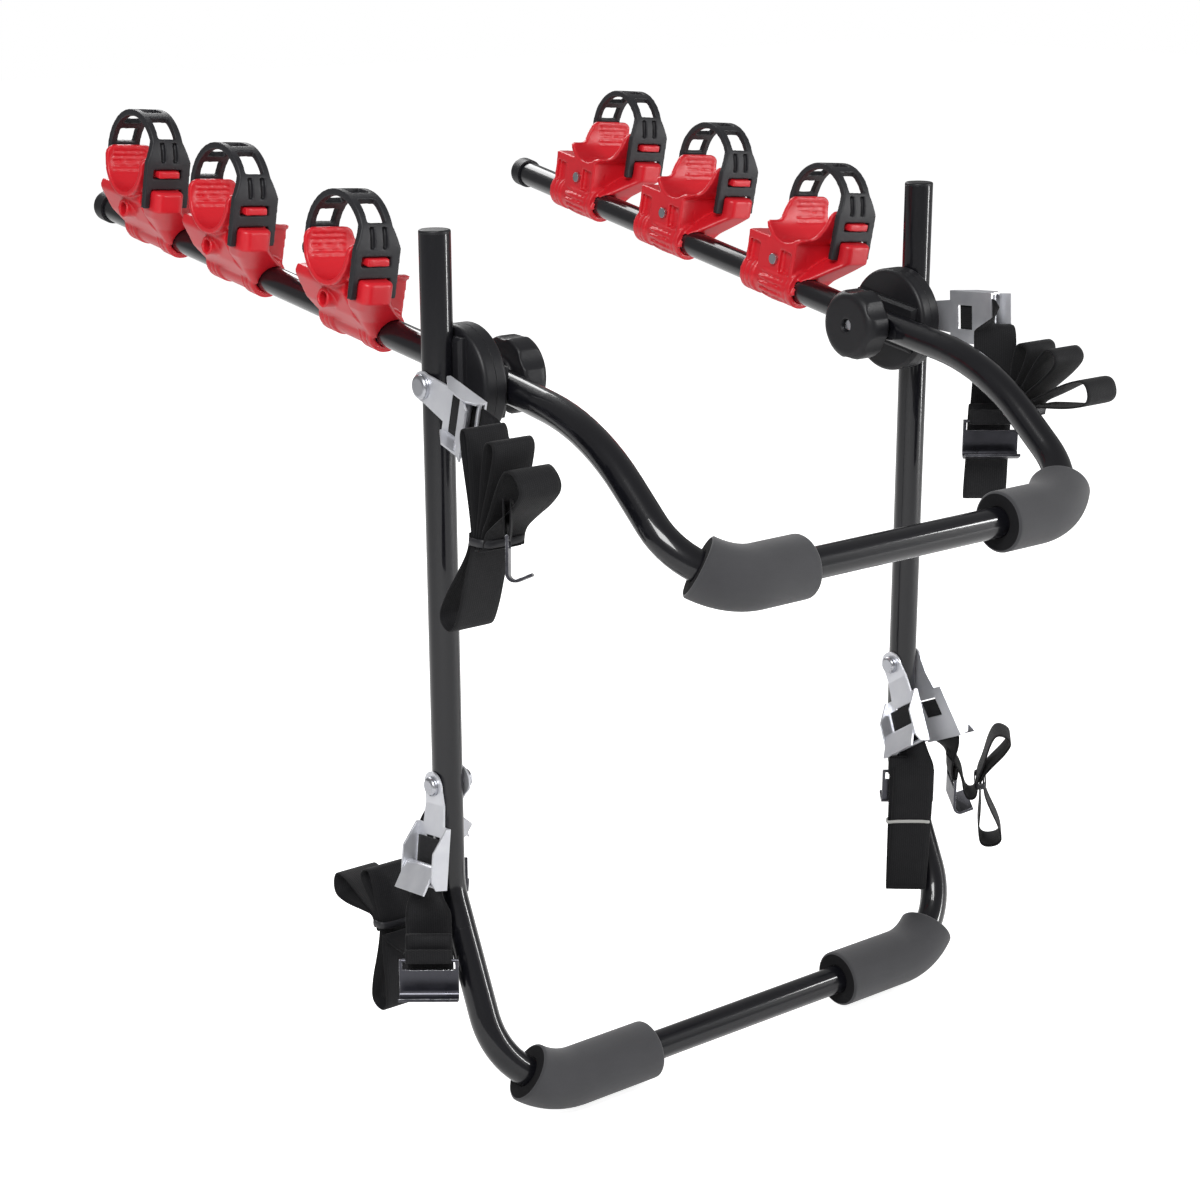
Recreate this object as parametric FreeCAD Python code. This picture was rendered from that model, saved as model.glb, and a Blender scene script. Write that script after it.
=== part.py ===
import FreeCAD, Part
import math
import os

# A strap-on rear carrier for three bicycles. All lengths are in millimetres.
# Frame: +X to the vehicle's right as seen from behind the arms, +Y away from the
# vehicle, +Z up. The origin is the middle of the lower cross bar, which is the
# lower rest. Nothing is moved or scaled after it is built.

V = FreeCAD.Vector

# Tubes of the frame
tube_d = 28.0
tube_wall = 1.5
track = 577.0            # between the axes of the two uprights
hub_y = 86.0             # uprights stand this far behind the lower cross bar
hub_z = 654.0            # height of the fold axis over the lower cross bar
upright_rise = 134.0     # top of an upright over the fold axis, cap included
knee_drop = 470.0        # bend of an upright below the fold axis
knee_radius = 60.0
swage_after_knee = 40.0  # end of the upright's tube past the bend's corner
swage_depth = 40.0       # spigot of the bottom bar inside the upright
low_corner_radius = 80.0

# Upper frame: arms and hoop are one bent tube
arm_half_gap = 235.0     # from the middle plane to the tube at the fold axis
arm_tilt = 8.0           # rise of the arms at rest, in degrees
arm_splay = 3.4          # arms open outwards, in degrees
arm_length = 672.0       # fold axis to the end of the arm's cap
hoop_straight = 152.0    # fold axis to the corner of the hoop's down bend
hoop_bend_radius = 217.0
hoop_y = 282.0           # hoop's cross bar in front of the fold axis
hoop_drop = 131.0        # hoop's cross bar below the fold axis
hoop_corner_radius = 68.0
hub_bend_radius = 300.0  # slight bend of the arms at the hubs

# Caps
cap_lip = 3.0
cap_plug = 18.0
cap_fit = 0.1
arm_cap_r = 16.6         # the arms' caps grip the tube from outside
arm_cap_skirt = 15.0
arm_cap_end = 5.0
arm_cap_round = 7.0

# Foam sleeves
foam_d = 56.0
foam_fit = 0.1
foam_inner_x = 124.0     # inner end of every foam sleeve
low_foam_length = 140.0
high_foam_length = 104.0

# Fold hubs
hub_d = 102.0
hub_gap = 0.4            # between the two toothed faces
hub_plate_t = 12.2
tooth_count = 24
tooth_depth = 1.4
tooth_width = 3.0
saddle_w = 46.0
saddle_h = 84.0
saddle_grip = 6.5        # how far a saddle climbs round its tube
saddle_fit = 0.15
rim_round = 4.0
saddle_bevel = 3.0
overlap = 2.0            # what belongs to one moulding is made to overlap this much
tooth_ring = 20.0        # the teeth start this far inside the hub's rim
tooth_len = 14.0
bolt_d = 10.0
bolt_fit = 0.08
bolt_head_d = 22.0
bolt_head_t = 5.0
low_head_d = 18.0        # head and nut of the strap bolts
low_nut_t = 6.0
low_nut_round = 3.0
bolt_tip_in = 2.0        # the hub bolt's tip is this far inside the knob's open bore
dent_depth = 5.0
dent_half = 19.0         # half length of the pressed flat
dent_radius = 60.0
dent_run_out = 45.0      # the flat fades into the tube over this length
dent_sweep = 38.0        # on arcs of this many degrees
washer_d = 24.0
washer_t = 2.0
gap = 0.3                # clearance between pieces that move past each other
knob_d = 70.0
knob_t = 27.0
knob_lobes = 6
knob_flute_r = 24.0
knob_flute_deep = 3.0
knob_dome = 9.0          # rounding of the front rim
knob_edge = 3.0          # rounding of the back rim
knob_boss_d = 30.0
knob_boss_t = 3.0
knob_bore_open_d = 13.0
knob_bore_open_t = 6.0

# Cradles: near ends of the clamps, measured along the arm from the fold axis
# the outermost ones are measured back from the arms' far ends
cradle_end_left = 160.0
cradle_end_right = 181.0
cradle_near_left = (152.0, 352.0, arm_length - cradle_end_left)
cradle_near_right = (117.0, 317.0, arm_length - cradle_end_right)
cradle_lean = 4.4        # all lean to +X, in degrees
clamp_len = 84.0
clamp_r = 20.3
clamp_waist_r = 18.4
clamp_waist_from = 19.0    # the clamp is thinner between its two ribbed ends
clamp_waist_to = 63.0
clamp_groove_at = (6.5, 14.0, 68.0, 75.5)
clamp_groove_w = 2.4
clamp_fit = 0.1
clamp_slit = 1.6
neck_margin = 3.0        # the neck stops this far inside the clamp's ends
neck_out = 54.0
neck_top = 46.0
neck_foot = 17.0         # half width where the neck meets the clamp
neck_outline = ((38.0, 14.0), (neck_out, 38.0))   # flare of its outer side, out and up
neck_rounds = [20.0, 8.0, 2.0, 2.0]
neck_sink = 4.0          # and how far below and above the arm's axis it starts
pocket_deep = 5.0
pocket_at = (8.0, 60.0)  # two pockets in the neck's inner side, along the arm
pocket_len = 18.0
pocket_low = 6.0
pocket_high = 36.0
trough_mid = 24.0        # middle of the trough along the arm
trough_r = 31.0
trough_wall = 5.0
trough_floor = 45.0      # lowest point of the trough above the arm's axis
wall_top = 85.0
seat_in = 13.0           # inner end of the high walls
seat_out = 63.0
wing_in = -18.0
wing_top_far = 61.0
wing_top_near = 53.0
lip_slope = 12.0         # run of the slope from a wing up to a high wall
lip_round = 9.0
grip_count = 5
grip_t = 1.2             # half the width and the depth of a grip groove
grip_first = 14.0        # lowest groove above the trough's floor
grip_pitch = 5.0
grip_inset = 6.0
nose_in = 21.5           # hook block in front of the clamp
nose_out = 54.5
# the block and the chin that carries it down to the clamp's near ring, from the top:
# height, inner and outer side, near and far end along the arm, corner radius
chin_sections = ((55.0, 23.5, 52.5, -30.0, 0.0, 6.0), (52.5, nose_in, nose_out, -33.0, 0.0, 8.0),
                 (35.0, nose_in, nose_out, -33.0, 0.0, 8.0), (26.0, 9.0, 49.0, -24.0, 4.0, 9.0),
                 (12.0, -10.0, 34.0, -11.0, 6.0, 7.0), (-5.0, -18.5, 18.5, -3.5, 6.0, 4.0))
peg_reach = 25.5         # the peg sticks out past the ladder strap
peg_low = 68.0
peg_high = 75.0
peg_in = 26.0
peg_out = 50.0
screw_d = 6.0
screw_at = 33.0          # along the arm
head_room = 0.5          # between the screw's head and its recess
screw_rise = 25.0
boss_r = 9.0             # round boss about the screw's outer end
boss_out = 54.0
screw_head_d = 11.0
screw_head_t = 3.0
screw_nut_t = 5.0
screw_in = -18.0         # under the screw's head
screw_out = 34.0         # under its nut

# Ladder straps over the cradles
ladder_t = 6.5
ladder_r = 43.25         # middle line of the arch
ladder_rise = 80.5       # centre of the arch above the arm's axis
ladder_mid = 25.0        # centre of the arch along the arm
band_in = 20.0
band_out = 54.0
shoulder_in = 12.0
shoulder_out = 62.0
shoulder_low = 83.0
leg_tip = 37.0
far_tip = 58.0
rung_low = 56.0
rung_high = 67.0
window_high = 76.0
rail_w = 7.0
leg_play = 1.0           # from the ladder's legs to the hook block
hinge_pin_d = 6.0
hinge_rise = 64.0
hinge_open = 8.0         # the strap's far end is open this far over its pin
eye_wall = 2.5
ear_t = 4.0
ear_half = 6.0
slot_at = (27.0, 41.0)   # two blind slots in the shoulders
slot_w = 5.0
slot_len = 19.0
slot_deep = 4.2
shoulder_slope = 20.0
# open windows of the arch, in degrees from its near foot to its far foot
arch_windows = ((33.0, 66.0), (79.0, 99.0), (112.0, 137.0), (149.0, 171.0))
reach_past = 60.0        # tools reach this far past the arch's centre

# Buckles
low_bolt_drop = 368.0    # lower strap bolts below the fold axis
low_bolt_d = 8.0
plate_t = 2.0
tongue_r = 13.5
tongue_bend = 17.0       # the tongue is bent this far below its bolt
frame_w = 52.0
frame_from = 36.0        # start of the channel along the tongue
frame_to = 92.0
cheek_h = 17.0
# the cheeks' side view: height over the base, and distance from the bolt
cheek_outline = ((0.0, frame_from), (4.0, frame_from), (cheek_h, 58.0), (cheek_h, 84.0), (11.5, frame_to),
                 (0.0, frame_to))
tongue_neck = 14.5       # half width of the tongue at its bend
frame_neck = 16.5        # and where it meets the frame
tongue_inset = 0.4
bend_lap = 0.5           # the frame starts this far above the bend
tongue_lap = 0.2         # and the tongue ends this far below it
base_window = 24.0       # hole in the frame's base
base_window_from = 46.0
base_window_to = 66.0
pin_d = 5.0
pin_at = 76.0
bar_at = 90.0
bar_d = 4.0
cam_d = 11.0
thumb_len = 24.0
thumb_angle = 24.0

# Webbing
web_w = 42.0
web_t = 1.6
lead_in = 12.0           # start of the webbing inside the channel
lead_past = 16.0         # where it turns down past the channel
fold_lap = 3.0           # the hanging fold starts this far above the turn
fold_pitch = 3.2         # from layer to layer in a tie
fold_r = 1.6             # bends between layers in a tie
fold_bend_r = 7.0        # open bends of the hanging fold
root_bend_r = 3.0        # bends where a fan joins the hanging fold
tie_half = 6.0
tie_band = 7.0
petal_root_r = 4.0       # bends where a petal leaves the tie
tie_spare = 2.0          # the band reaches this far past the layers it holds

# Hooks
hook_w = 54.0
hook_t = 2.6
hook_bar_r = 1.6
hook_loop_r = 3.0
hook_loop_tail = 12.0
hook_drop = 38.0
hook_bend = 6.0
hook_reach = 20.0        # the lip sticks out this far
hook_rise = 8.0          # and rises this far
window_h = 9.0
rail_t = 3.0             # sides of a hook's window

web_level = plate_t + gap + web_t / 2           # webbing over the buckle's base plate
pin_up = plate_t + 2 * gap + web_t + cam_d / 2  # cam pin over the base plate
bar_up = plate_t + 2 * gap + web_t + bar_d / 2
tube_r = tube_d / 2.0
half = track / 2.0
HUB = V(0, hub_y, hub_z)
X = V(1, 0, 0)
Y = V(0, 1, 0)
Z = V(0, 0, 1)


def export(name, solids):
    """Write one node, as one solid or as a group of separate solids."""
    shape = solids[0] if len(solids) == 1 else Part.makeCompound(solids)
    shape.exportStep("parts/" + name + ".step")
    total = sum(s.Volume for s in solids)
    print("%-22s solids %d  volume %.0f  valid %s" % (name, len(solids), total, shape.isValid()))


def cyl(radius, height, base, axis):
    return Part.makeCylinder(radius, height, base, axis)


def box(low, high):
    size = high - low
    return Part.makeBox(size.x, size.y, size.z, low)


def prism(points, along):
    """Extrude a closed polygon."""
    wire = Part.makePolygon(list(points) + [points[0]])
    return Part.Face(wire).extrude(along)


def mirrored(shape):
    return shape.mirror(V(0, 0, 0), X)


def placed(shape, origin, ex, ey, ez):
    """Carry a shape from its own axes to a frame given by three directions."""
    m = FreeCAD.Matrix(ex.x, ey.x, ez.x, origin.x, ex.y, ey.y, ez.y, origin.y,
                       ex.z, ey.z, ez.z, origin.z, 0, 0, 0, 1)
    return shape.transformGeometry(m) if m.determinant() < 0 else moved(shape, m)


def moved(shape, matrix):
    copy = shape.copy()
    copy.Placement = FreeCAD.Placement(matrix).multiply(copy.Placement)
    return copy


# Bent tubes

def rounded_path(points, radii):
    """Wire of straight runs joined by tangent arcs."""
    starts = [points[0]]
    edges = []
    for i in range(1, len(points) - 1):
        before = (points[i - 1] - points[i]).normalize()
        after = (points[i + 1] - points[i]).normalize()
        turn = math.pi - before.getAngle(after)
        reach = radii[i - 1] * math.tan(turn / 2.0)
        first = points[i] + before * reach
        last = points[i] + after * reach
        inward = (before + after).normalize()
        centre = points[i] + inward * (radii[i - 1] / math.cos(turn / 2.0))
        middle = centre - inward * radii[i - 1]
        edges.append(Part.LineSegment(starts[-1], first).toShape())
        edges.append(Part.Arc(first, middle, last).toShape())
        starts.append(last)
    edges.append(Part.LineSegment(starts[-1], points[-1]).toShape())
    return Part.Wire(edges)


def swept(path, radius):
    """A round bar along a path."""
    first = path.Edges[0]
    start = first.valueAt(first.FirstParameter)
    ahead = first.tangentAt(first.FirstParameter)
    ring = Part.Wire([Part.Circle(start, ahead, radius).toShape()])
    return path.makePipeShell([ring], True, False)


def pipe(path, outer, inner):
    return swept(path, outer).cut(swept(path, inner))


def arm_axis(side):
    """Direction of an arm away from the vehicle."""
    tilt = math.radians(arm_tilt)
    splay = math.radians(arm_splay)
    return V(side * math.sin(splay), math.cos(tilt) * math.cos(splay),
             math.sin(tilt) * math.cos(splay))


def knee_points(side):
    """Upright, knee and leg of one side, from the top down to the lower bar's corner."""
    top = V(side * half, hub_y, hub_z + upright_rise - cap_lip)
    knee = V(side * half, hub_y, hub_z - knee_drop)
    corner = V(side * half, 0, 0)
    return top, knee, corner


def swage_point(side):
    top, knee, corner = knee_points(side)
    return knee + (corner - knee).normalize() * swage_after_knee


def hoop_points():
    """Corners of the hoop from the left arm's hub to the right arm's hub."""
    drop = math.radians(arm_tilt)
    bend_y = -hoop_straight * math.cos(drop)
    bend_z = -hoop_straight * math.sin(drop)
    points = []
    for side in (-1, 1):
        x = side * arm_half_gap
        run = [V(x, 0, 0), V(x, bend_y, bend_z), V(x, -hoop_y, -hoop_drop)]
        points += run if side < 0 else run[::-1]
    return [p + HUB for p in points]


def arm_start(side):
    return V(side * arm_half_gap, hub_y, hub_z)


def arm_end(side):
    return arm_start(side) + arm_axis(side) * (arm_length - arm_cap_end)


def swing_path():
    corners = hoop_points()
    points = [arm_end(-1)] + corners + [arm_end(1)]
    radii = [hub_bend_radius, hoop_bend_radius, hoop_corner_radius,
             hoop_corner_radius, hoop_bend_radius, hub_bend_radius]
    return rounded_path(points, radii)


def dent_tool(side, skin):
    """Pressed flat on the inner side of the tube at the fold bolt."""
    depth = tube_r - dent_depth - skin
    reach = 2 * tube_r
    low = -dent_half
    run_out = dent_half + dent_run_out
    profile = [V(-depth, low, 0), V(-depth, dent_half, 0)]
    sweep = math.radians(dent_sweep)
    edges = [Part.LineSegment(profile[0], profile[1]).toShape()]
    for sign in (1, -1):
        start = V(-depth, sign * dent_half, 0)
        mid = start + V(-dent_radius * (1 - math.cos(sweep / 2)),
                        sign * dent_radius * math.sin(sweep / 2), 0)
        end = start + V(-dent_radius * (1 - math.cos(sweep)),
                        sign * dent_radius * math.sin(sweep), 0)
        edges.append(Part.Arc(start, mid, end).toShape())
        far = V(-reach, sign * run_out, 0)
        edges.append(Part.LineSegment(end, far).toShape())
    edges.append(Part.LineSegment(V(-reach, run_out, 0), V(-reach, -run_out, 0)).toShape())
    wire = Part.Wire(Part.__sortEdges__(edges))
    tool = Part.Face(wire).extrude(V(0, 0, 4 * tube_r))
    tool.translate(V(0, 0, -2 * tube_r))
    along = V(0, arm_axis(1).y, arm_axis(1).z).normalize()
    return placed(tool, arm_start(side), X * side, along, (X * side).cross(along))


def make_frame_tubes():
    for side, name in ((-1, "upright_left"), (1, "upright_right")):
        top, knee, corner = knee_points(side)
        end = swage_point(side)
        body = pipe(rounded_path([top, knee, end], [knee_radius]), tube_r, tube_r - tube_wall)
        body = body.cut(bolt_hole(side, 0.0, bolt_d))
        body = body.cut(bolt_hole(side, -low_bolt_drop, low_bolt_d))
        export(name, [body])
    left_end = swage_point(-1)
    right_end = swage_point(1)
    corners = [V(-half, 0, 0), V(half, 0, 0)]
    path = rounded_path([left_end] + corners + [right_end], [low_corner_radius] * 2)
    bar = pipe(path, tube_r, tube_r - tube_wall)
    for side, end in ((-1, left_end), (1, right_end)):
        up = (end - V(side * half, 0, 0)).normalize()
        spigot_r = tube_r - tube_wall - cap_fit
        root = cyl(tube_r - tube_wall / 2, tube_r, end - up * tube_r, up)
        spigot = cyl(spigot_r, swage_depth, end - up * tube_r, up).fuse(root)
        spigot = spigot.cut(cyl(spigot_r - tube_wall, swage_depth, end - up * tube_r, up))
        bar = bar.fuse(spigot)
    export("bottom_bar", [bar.removeSplitter()])
    print("bottom bar centre line", round(path.Length))


def bolt_hole(side, drop, diameter):
    """Hole through an upright along X."""
    centre = V(side * half - tube_d, hub_y, hub_z + drop)
    return cyl(diameter / 2.0 + bolt_fit, 2 * tube_d, centre, X)


def cap(end, out):
    """Domed plug of a tube's end; out points out of the tube."""
    lip = cyl(tube_r, cap_lip, end, out)
    lip = lip.makeFillet(cap_lip * 0.6, [lip.Edges[0]])
    plug = cyl(tube_r - tube_wall - cap_fit, cap_plug, end - out * cap_plug, out)
    return lip.fuse(plug)


def arm_cap(end, out):
    """Round cap pushed over a tube's end; out points out of the tube."""
    body = cyl(arm_cap_r, arm_cap_skirt + arm_cap_end, end - out * arm_cap_skirt, out)
    far = end + out * arm_cap_end
    rims = [e for e in body.Edges if e.BoundBox.DiagonalLength > arm_cap_r
            and abs((e.CenterOfMass - far).dot(out)) < 0.01]
    body = body.makeFillet(arm_cap_round, rims)
    return body.cut(cyl(tube_r + cap_fit, arm_cap_skirt, end - out * arm_cap_skirt, out))


def make_caps():
    export("upright_caps", [cap(knee_points(s)[0], Z) for s in (-1, 1)])
    export("arm_caps", [arm_cap(arm_end(s), arm_axis(s)) for s in (-1, 1)])


def sub_path(corner_points, radii, skip, length):
    """Part of a tube's path from one side, starting at a distance along it."""
    wire = rounded_path(corner_points, radii)
    edges = []
    done = 0.0
    for edge in wire.OrderedEdges:
        low = max(skip - done, 0.0)
        high = min(skip + length - done, edge.Length)
        if high - low > 0.01:
            first = edge.getParameterByLength(low)
            last = edge.getParameterByLength(high)
            edges.append(edge.Curve.toShape(min(first, last), max(first, last)))
        done += edge.Length
    return Part.Wire(edges)


def foam(path):
    """Foam sleeve with softly rounded ends."""
    sleeve = swept(path, foam_d / 2.0).cut(swept(path, tube_r + foam_fit))
    return sleeve


def make_foam():
    for side, tag in ((-1, "left"), (1, "right")):
        knee = knee_points(side)[1]
        low_points = [V(0, 0, 0), V(side * half, 0, 0), knee]
        path = sub_path(low_points, [low_corner_radius], foam_inner_x, low_foam_length)
        export("lower_pad_" + tag, [foam(path)])
        run = hoop_points()
        run = run[:3][::-1] if side < 0 else run[3:]
        high_points = [V(0, run[0].y, run[0].z)] + run
        path = sub_path(high_points, [hoop_corner_radius, hoop_bend_radius],
                        foam_inner_x - 6.0, high_foam_length)
        export("upper_pad_" + tag, [foam(path)])


# Fold hubs, knobs and bolts. Built for the right side at the fold axis, with local
# x running outwards, then mirrored for the left side.

mid_face = (half - tube_r + arm_half_gap + tube_r) / 2.0


def toothed_disc(inner_x, thickness, teeth_at_low):
    disc = cyl(hub_d / 2.0, thickness, V(inner_x, 0, 0), X)
    rim_x = inner_x + thickness if teeth_at_low else inner_x
    rims = [e for e in disc.Edges if abs(e.BoundBox.XMin - rim_x) < 0.01 and e.BoundBox.XLength < 0.01]
    disc = disc.makeFillet(rim_round, rims)
    tooth_x = inner_x if teeth_at_low else inner_x + thickness
    ring_low = hub_d / 2.0 - tooth_ring
    cuts = []
    for i in range(tooth_count):
        angle = 360.0 * i / tooth_count
        tool = prism([V(tooth_x - tooth_depth, ring_low, 0), V(tooth_x, ring_low, -tooth_width / 2),
                      V(tooth_x + tooth_depth, ring_low, 0), V(tooth_x, ring_low, tooth_width / 2)],
                     V(0, tooth_len, 0))
        tool.rotate(V(0, 0, 0), X, angle)
        cuts.append(tool)
    return disc.cut(Part.makeCompound(cuts))


def make_hubs():
    root_low = mid_face + hub_gap / 2.0
    root_face = root_low + hub_plate_t
    plate = toothed_disc(root_low, hub_plate_t, True)
    saddle = box(V(root_face - overlap, -saddle_w / 2, -saddle_h / 2),
                 V(half - tube_r + saddle_grip, saddle_w / 2, saddle_h / 2))
    edges = [e for e in saddle.Edges if e.BoundBox.XLength < 0.01 and e.BoundBox.XMin > root_face]
    saddle = saddle.makeChamfer(saddle_bevel, edges)
    plate = plate.fuse(saddle)
    plate = plate.cut(cyl(tube_r + saddle_fit, 2 * hub_d, V(half, 0, -hub_d), Z))
    bore = cyl(bolt_d / 2 + bolt_fit, 2 * hub_d, V(mid_face - hub_d, 0, 0), X)
    plate = plate.cut(bore)

    disc_low = mid_face - hub_gap / 2.0 - hub_plate_t
    disc = toothed_disc(disc_low, hub_plate_t, False)
    arm_dir = V(0, arm_axis(1).y, arm_axis(1).z).normalize()
    across = X.cross(arm_dir)
    grip = box(V(arm_half_gap + tube_r - saddle_grip, -saddle_h / 2, -saddle_w / 2),
               V(disc_low + overlap, saddle_h / 2, saddle_w / 2))
    edges = [e for e in grip.Edges if e.BoundBox.XLength < 0.01 and e.BoundBox.XMax < disc_low]
    grip = grip.makeChamfer(saddle_bevel, edges)
    grip = placed(grip, V(0, 0, 0), X, arm_dir, across)
    disc = disc.fuse(grip)
    disc = disc.cut(bore)
    disc.translate(HUB)
    plate.translate(HUB)
    groove = swept(swing_path(), tube_r + saddle_fit)
    disc = disc.cut(groove)
    export("hub_plate_right", [plate])
    export("hub_plate_left", [mirrored(plate)])
    export("hub_disc_right", [disc])
    export("hub_disc_left", [mirrored(disc)])


def make_swing_tube():
    outer = swept(swing_path(), tube_r)
    inner = swept(swing_path(), tube_r - tube_wall)
    for side in (-1, 1):
        outer = outer.cut(dent_tool(side, 0.0))
        inner = inner.cut(dent_tool(side, tube_wall))
    tube = outer.cut(inner)
    for side in (-1, 1):
        hole = cyl(bolt_d / 2 + bolt_fit, 3 * tube_d, arm_start(side) - X * 1.5 * tube_d, X)
        tube = tube.cut(hole)
    export("swing_tube", [tube])


flat_x = arm_half_gap - tube_r + dent_depth
washer_low = flat_x - gap - washer_t
boss_low = washer_low - gap - knob_boss_t
knob_low = boss_low - knob_t
head_x = half + tube_r + gap + plate_t + gap


def make_knobs():
    washer = cyl(washer_d / 2, washer_t, HUB + V(washer_low, 0, 0), X)
    washer = washer.cut(cyl(bolt_d / 2 + bolt_fit, washer_t, HUB + V(washer_low, 0, 0), X))
    knob = cyl(knob_d / 2, knob_t, HUB + V(knob_low, 0, 0), X)
    for face_x, round_r in ((knob_low, knob_dome), (boss_low, knob_edge)):
        rims = [e for e in knob.Edges if e.BoundBox.XLength < 0.01 and abs(e.BoundBox.XMin - face_x) < 0.01]
        knob = knob.makeFillet(round_r, rims)
    flutes = []
    for i in range(knob_lobes):
        angle = math.radians(360.0 * (i + 0.5) / knob_lobes)
        out = knob_d / 2 + knob_flute_r - knob_flute_deep
        centre = HUB + V(knob_low, out * math.cos(angle), out * math.sin(angle))
        flutes.append(cyl(knob_flute_r, knob_t, centre, X))
    knob = knob.cut(Part.makeCompound(flutes))
    knob = knob.fuse(cyl(knob_boss_d / 2, knob_boss_t, HUB + V(boss_low, 0, 0), X))
    knob = knob.cut(cyl(bolt_d / 2 + bolt_fit, knob_t + knob_boss_t, HUB + V(knob_low, 0, 0), X))
    knob = knob.cut(cyl(knob_bore_open_d / 2, knob_bore_open_t, HUB + V(knob_low, 0, 0), X))
    for tag, flip in (("right", False), ("left", True)):
        export("washer_" + tag, [mirrored(washer) if flip else washer])
        export("knob_" + tag, [mirrored(knob) if flip else knob])


def bolt(head_at, tip_at, diameter, head_d, centre):
    """Round-headed bolt along X; the head is at the larger x."""
    shank = cyl(diameter / 2, head_at - tip_at, centre + V(tip_at, 0, 0), X)
    head = cyl(head_d / 2, bolt_head_t, centre + V(head_at, 0, 0), X)
    rims = [e for e in head.Edges if e.BoundBox.XLength < 0.01 and e.BoundBox.XMin > head_at + 1]
    head = head.makeFillet(bolt_head_t * 0.7, rims)
    return shank.fuse(head)


def make_bolts():
    hub_bolt = bolt(head_x, knob_low + knob_bore_open_t - bolt_tip_in, bolt_d, bolt_head_d, HUB)
    export("hub_bolts", [mirrored(hub_bolt), hub_bolt])
    centre = HUB - Z * low_bolt_drop
    inner = half - tube_r - gap - plate_t - gap
    low = bolt(head_x, inner, low_bolt_d, low_head_d, centre)
    nut = cyl(low_head_d / 2, low_nut_t, centre + V(inner - low_nut_t, 0, 0), X)
    rims = [e for e in nut.Edges if e.BoundBox.XLength < 0.01 and e.BoundBox.XMin < inner - 5]
    low = low.fuse(nut.makeFillet(low_nut_round, rims))
    export("strap_bolts", [mirrored(low), low])


# Cradles. Local x runs outwards from the arm, local y along the arm away from the
# vehicle and local z up, from the near end of the clamp on the arm's axis.

def u_profile(radius, top, x_low, x_high, mid, floor):
    """Solid with a round bottom and straight sides, as a trough's bore or its outside."""
    centre_z = floor + radius
    round_part = cyl(radius, x_high - x_low, V(x_low, mid, centre_z), X)
    high = max(top, centre_z + 1.0)
    straight = box(V(x_low, mid - radius, centre_z), V(x_high, mid + radius, high))
    shape = round_part.fuse(straight)
    lid = box(V(x_low - 1, mid - 2 * radius, top), V(x_high + 1, mid + 2 * radius, top + 3 * radius))
    return shape.cut(lid)


def soft_prism(points, radii, along):
    """Extrude an outline whose inner corners are rounded; its first and last corners stay sharp."""
    path = rounded_path(points, radii)
    closing = Part.LineSegment(points[-1], points[0]).toShape()
    return Part.Face(Part.Wire(path.Edges + [closing])).extrude(along)


def wall_shape(from_y, to_y, wing_top):
    """Everything under a wall's top edge, which steps from the wing up to the high wall."""
    points = [V(wing_in, from_y, 0), V(wing_in, from_y, wing_top),
              V(seat_in - lip_slope, from_y, wing_top), V(seat_in, from_y, wall_top),
              V(seat_out, from_y, wall_top), V(seat_out, from_y, 0)]
    return soft_prism(points, [lip_round / 2, lip_round, lip_round, lip_round], V(0, to_y - from_y, 0))


def trough_shape():
    """Outside of the trough with its four walls, still filled."""
    outer_r = trough_r + trough_wall
    outside = u_profile(outer_r, wall_top, wing_in, seat_out, trough_mid, trough_floor - trough_wall)
    near = wall_shape(trough_mid - outer_r - 1, trough_mid, wing_top_near)
    far = wall_shape(trough_mid, trough_mid + outer_r + 1, wing_top_far)
    return outside.common(near.fuse(far))


def clamp_shape():
    """Clamp round the arm: two grooved ends and a thinner waist."""
    shell = cyl(clamp_r, clamp_len, V(0, 0, 0), Y)
    cuts = []
    rings = [(at, clamp_groove_w, clamp_r - grip_t) for at in clamp_groove_at]
    rings.append((clamp_waist_from, clamp_waist_to - clamp_waist_from, clamp_waist_r))
    for start, length, floor_r in rings:
        ring = cyl(clamp_r + 1, length, V(0, start, 0), Y)
        cuts.append(ring.cut(cyl(floor_r, length, V(0, start, 0), Y)))
    return shell.cut(Part.makeCompound(cuts))


def neck_shape():
    """Neck that carries the trough on the clamp, with two pockets in its inner side."""
    low = neck_margin
    points = [V(neck_foot, low, -neck_sink)] + [V(x, low, z) for x, z in neck_outline]
    points += [V(neck_out - neck_rounds[-1], low, neck_top), V(wing_in, low, neck_top),
               V(-neck_foot, low, neck_sink)]
    neck = soft_prism(points, neck_rounds, V(0, clamp_len - 2 * neck_margin, 0))
    pockets = [box(V(-clamp_r - 1, at, pocket_low), V(-neck_foot + pocket_deep, at + pocket_len, pocket_high))
               for at in pocket_at]
    return neck.cut(Part.makeCompound(pockets))


def soft_rectangle(x_low, x_high, y_low, y_high, z, corner_r):
    """Closed level outline with rounded corners."""
    corners = [V(x_low, y_low, z), V(x_high, y_low, z), V(x_high, y_high, z), V(x_low, y_high, z)]
    start = (corners[0] + corners[3]) * 0.5
    return rounded_path([start] + corners + [start], [corner_r] * 4)


def chin_shape():
    """Hook block in front of the clamp and the chin that carries it."""
    outlines = [soft_rectangle(x_low, x_high, y_low, y_high, z, corner_r)
                for z, x_low, x_high, y_low, y_high, corner_r in chin_sections]
    return Part.makeLoft(outlines, True, True)


def grip_grooves():
    """Grooves across the seat, cut outwards from the trough's bore."""
    grooves = []
    for i in range(grip_count):
        z = trough_floor + grip_first + i * grip_pitch
        drop = trough_floor + trough_r - z
        reach = math.sqrt(trough_r ** 2 - max(drop, 0.0) ** 2)
        for face in (-1, 1):
            y = trough_mid + face * reach
            grooves.append(box(V(seat_in + grip_inset, y - grip_t, z - grip_t),
                               V(seat_out - grip_inset, y + grip_t, z + grip_t)))
    return Part.makeCompound(grooves)


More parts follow.
